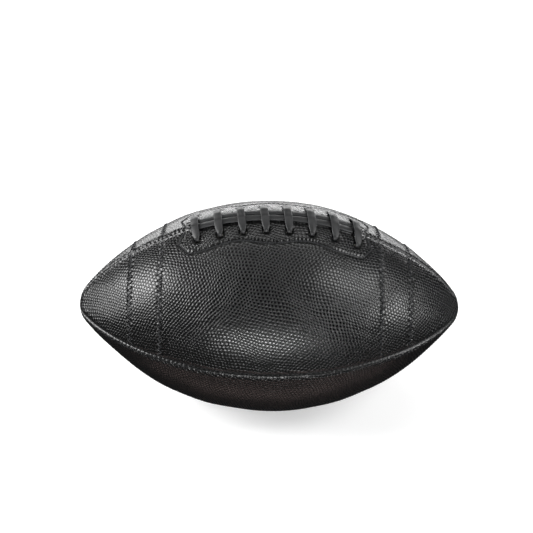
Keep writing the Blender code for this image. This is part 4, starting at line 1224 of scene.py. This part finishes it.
def hermite(values, lengths, at):
    slopes = np.gradient(values, lengths, axis=0)
    spot = np.clip(np.searchsorted(lengths, at, side="right") - 1, 0, len(lengths) - 2)
    span = lengths[spot + 1] - lengths[spot]
    t = ((at - lengths[spot]) / span)[:, None]
    first, second = values[spot], values[spot + 1]
    rise, fall = slopes[spot] * span[:, None], slopes[spot + 1] * span[:, None]
    return ((2 * t ** 3 - 3 * t ** 2 + 1) * first + (t ** 3 - 2 * t ** 2 + t) * rise
            + (3 * t ** 2 - 2 * t ** 3) * second + (t ** 3 - t ** 2) * fall)


def makeLace():
    route = laceRoute()
    arcs = sideRadius * np.arcsin(route[:, 0] / sideRadius)
    angles = -route[:, 1] / radiusAt(arcs)
    centres = surface(arcs, -angles, route[:, 2])
    small = 0.01
    alongWay = unitRows(surface(arcs + small, -angles, route[:, 2]) - centres)
    aroundWay = unitRows(surface(arcs, -angles + small, route[:, 2]) - centres)
    twist = np.radians(90.0 * route[:, 4])[:, None]
    wide = aroundWay * np.cos(twist) + alongWay * np.sin(twist)
    for index in range(1, len(wide)):
        if wide[index].dot(wide[index - 1]) < 0:
            wide[index] = -wide[index]
    lengths = lengthsOf(centres)
    count = int(lengths[-1] / lace["step"])
    at = np.linspace(0.0, lengths[-1], count + 1)
    packed = hermite(np.concatenate([centres, wide, route[:, 3:4]], axis=1), lengths, at)
    centres, wide, pinch = packed[:, :3], packed[:, 3:6], np.clip(packed[:, 6:7], 0.0, 1.0)
    ahead = unitRows(np.gradient(centres, axis=0))
    wide = unitRows(wide - ahead * np.sum(wide * ahead, axis=1)[:, None])
    thick = np.cross(ahead, wide)
    length, swing = lace["wander"]
    wander = np.random.RandomState(77).uniform(-swing, swing, int(lengths[-1] / length) + 2)
    width = lace["width"] + (lace["pinchedWidth"] - lace["width"]) * pinch
    width = width + np.interp(at, np.arange(0.0, lengths[-1] + length, length), wander)[:, None]
    depth = lace["thickness"] + (lace["pinchedThickness"] - lace["thickness"]) * pinch
    vertices, place, edge = [], [], []
    count, sides = len(at), lace["sides"]
    dent, spot, reach = lace["pressed"]
    for side in range(sides):
        turn = 2 * math.pi * (side + 0.5) / sides
        x, y = (math.copysign(abs(value) ** power, value) * 0.5
                for value, power in zip((math.cos(turn), math.sin(turn)), lace["rounding"]))
        y *= 1.0 - dent * bell(abs(x) - spot, reach)
        vertices.append(centres + wide * x * width + thick * y * depth)
        across = x * lace["width"] + (0.0 if y > 0 else 12.0)       # the lower face has its own grain
        place.append(np.stack([np.full(count, across), at, np.zeros(count)], axis=1))
        # share of the painted edge highlight across the band
        edge.append(np.full(count, max(0.0, abs(x) * 2 - lace["edgeHighlightPlace"]) * 5.0))
    vertices, place = (np.stack(part, axis=1).reshape(-1, 3) for part in (vertices, place))
    piece = newPiece("lace_band", vertices, tubeFaces(count, sides), laceVinyl, "lace")
    addNumbers(piece, "lacePlace", place)
    addNumbers(piece, "laceEdgeHighlight", np.clip(np.stack(edge, axis=1).reshape(-1), 0.0, 1.0))


makeLace()
print("lace made")


# The valve, a rubber stem with a lip round its needle hole

valveShape = {
    "sides": 48,
    "sharp": math.radians(50),
    # radius and depth below the leather's face
    "stem": [(2.1, 1.1), (2.35, 0.82), (2.8, 0.72), (3.3, 0.8), (3.55, 1.05), (3.6, 1.4), (3.6, 7.75),
             (3.6, 7.75), (6.2, 7.75), (6.5, 8.0), (6.5, 8.7), (6.2, 8.95), (3.6, 12.95), (2.1, 12.95)],
    "core": [(0.5, 2.6), (0.62, 2.0), (0.95, 1.82), (1.4, 1.8), (1.72, 1.95), (1.8, 2.3), (1.8, 11.7),
             (0.6, 11.7)],
}


def turnedPiece(name, profile, material, node):
    angle = valve["angle"]
    centre = surface(0.0, angle, 0.0)
    direction = surface(0.0, angle, 1.0) - centre
    sideways = np.array([1.0, 0.0, 0.0])
    around = np.cross(direction, sideways)
    vertices = []
    count, sides = len(profile), valveShape["sides"]
    for k in range(sides):
        turn = 2 * math.pi * k / sides
        ray = sideways * math.cos(turn) + around * math.sin(turn)
        for radius, depth in profile:
            if radius > valve["hole"]:      # the foot follows the ball's curve
                swing = radius * math.sin(turn) / ball["middleRadius"]
                vertices.append(surface(radius * math.cos(turn), angle + swing, -depth))
            else:
                vertices.append(centre + ray * radius - direction * depth)
    shape = [(k * count + p, k * count + (p + 1) % count, ((k + 1) % sides) * count + (p + 1) % count,
              ((k + 1) % sides) * count + p) for k in range(sides) for p in range(count)]
    piece = newPiece(name, vertices, shape, material, node)
    piece.data.set_sharp_from_angle(angle=valveShape["sharp"])


turnedPiece("valve_stem", valveShape["stem"], valveButyl, "valve_body")
turnedPiece("valve_plug", valveShape["core"], bladderButyl, "valve_core")
print("valve made")


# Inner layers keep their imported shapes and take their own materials

inner = {"bladder_guard": guardCotton, "bladder": bladderButyl, "valve_patch": bladderButyl}
for face in ("front", "back"):
    inner.update({face + "_lace_lining": liningCotton, face + "_bottom_lining": liningCotton,
                  face + "_lace_facing": facingSplit})
for node, material in inner.items():
    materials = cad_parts[node].data.materials
    materials.clear()
    materials.append(material)


# Studio: a pale glowing sweep, soft boxes and the photograph's viewpoint

studio = {
    "picture": 533,             # width and height, in pixels
    "sensor": 36.0,
    "focal": 1118.0,            # in pixels of the picture
    "distance": 829.2,
    "elevation": 38.63,
    "yaw": 0.998,
    "roll": -0.59,
    "ballX": 269.54,            # where the ball's middle falls in the picture
    "ballY": 305.78,
    "world": "#b9bbbe",
    "worldStrength": 0.06,
}


def makeCamera():
    e, yaw, roll = (math.radians(studio[k]) for k in ("elevation", "yaw", "roll"))
    towards = Vector((0.0, -math.cos(e), math.sin(e)))
    level = Vector((1.0, 0.0, 0.0))
    upright = Vector((0.0, math.sin(e), math.cos(e)))
    back = -math.sin(yaw) * level + math.cos(yaw) * towards
    flat = math.cos(yaw) * level + math.sin(yaw) * towards
    right = math.cos(roll) * flat - math.sin(roll) * upright
    up = math.sin(roll) * flat + math.cos(roll) * upright
    centre = Vector((0.0, 0.0, ball["axisHeight"]))
    data = bpy.data.cameras.new("camera")
    data.sensor_width = studio["sensor"]
    data.lens = studio["focal"] / studio["picture"] * studio["sensor"]
    data.shift_x = -(studio["ballX"] - studio["picture"] / 2) / studio["picture"]
    data.shift_y = (studio["ballY"] - studio["picture"] / 2) / studio["picture"]
    camera = addToScene("camera", data)
    place = (centre + back * studio["distance"]) * 0.001
    camera.matrix_world = Matrix.Translation(place) @ Matrix((right, up, back)).transposed().to_4x4()
    bpy.context.scene.camera = camera


softBoxes = {
    # place, width and height in metres, watts and tint; each faces the ball's middle
    "back_strip": ((0.0, 1.6, 0.22), (3.2, 0.45), 31.0, "#ffffff"),
    "back_box": ((0.0, 0.46, 1.4), (1.6, 0.5), 7.5, "#ffffff"),
    "left_box": ((-1.15, -0.05, 0.68), (0.6, 0.6), 24.0, "#ffffff"),
    "left_strip": ((-1.3, 0.15, 0.12), (0.6, 0.22), 3.5, "#ffffff"),
    "right_box": ((0.95, -0.3, 1.05), (0.6, 0.6), 11.0, "#ffffff"),
    "right_strip": ((1.25, -0.35, 0.33), (0.5, 0.35), 9.0, "#ffffff"),
    "front_strip": ((0.0, -1.5, 0.065), (1.1, 0.12), 19.0, "#ffffff"),
    "under_box": ((0.0, -0.35, -0.95), (1.9, 0.16), 1.5, "#ffe2dc"),
}


def makeLights():
    middle = Vector((0.0, 0.0, 0.08))
    for name, (place, size, watts, tint) in softBoxes.items():
        data = bpy.data.lights.new(name, "AREA")
        data.shape = "RECTANGLE"
        data.size, data.size_y = size
        data.energy = watts
        data.color = linear(tint)[:3]
        light = addToScene(name, data)
        light.location = place
        light.rotation_euler = (middle - Vector(place)).to_track_quat("-Z", "Y").to_euler()


def makeFloor():
    # It turns up into a wall all round, so that it is pale from every side
    work = bmesh.new()
    rings = []
    for radius, height in sweep["rings"]:
        rings.append([work.verts.new((radius * math.cos(turn), radius * math.sin(turn), height))
                      for turn in np.arange(sweep["sides"]) * (2 * math.pi / sweep["sides"])])
    work.faces.new(rings[0])
    for inside, outside in zip(rings, rings[1:]):
        for index in range(sweep["sides"]):
            work.faces.new((inside[index - 1], outside[index - 1], outside[index], inside[index]))
    mesh = bpy.data.meshes.new("studio_floor")
    work.to_mesh(mesh)
    work.free()
    mesh.shade_smooth()
    mesh.materials.append(floorMaterial())
    floor = addToScene("studio_floor", mesh)
    floor.location = (0.0, 0.0, -sweep["drop"])
    # The photographed ball mirrors no floor: the sweep shows, but isn't mirrored in the leather, and
    # lets the dim light below it through to the ball's underside
    floor.visible_glossy = False
    floor.visible_diffuse = False
    floor.visible_shadow = False


makeCamera()
makeFloor()
makeLights()
world = bpy.data.worlds.new("studio_air")
bpy.context.scene.world = world
world.use_nodes = True
air = world.node_tree.nodes["Background"]
air.inputs["Color"].default_value = linear(studio["world"])
air.inputs["Strength"].default_value = studio["worldStrength"]
bpy.context.scene.view_settings.view_transform = "Standard"
bpy.context.scene.view_settings.look = "None"
print("studio made")
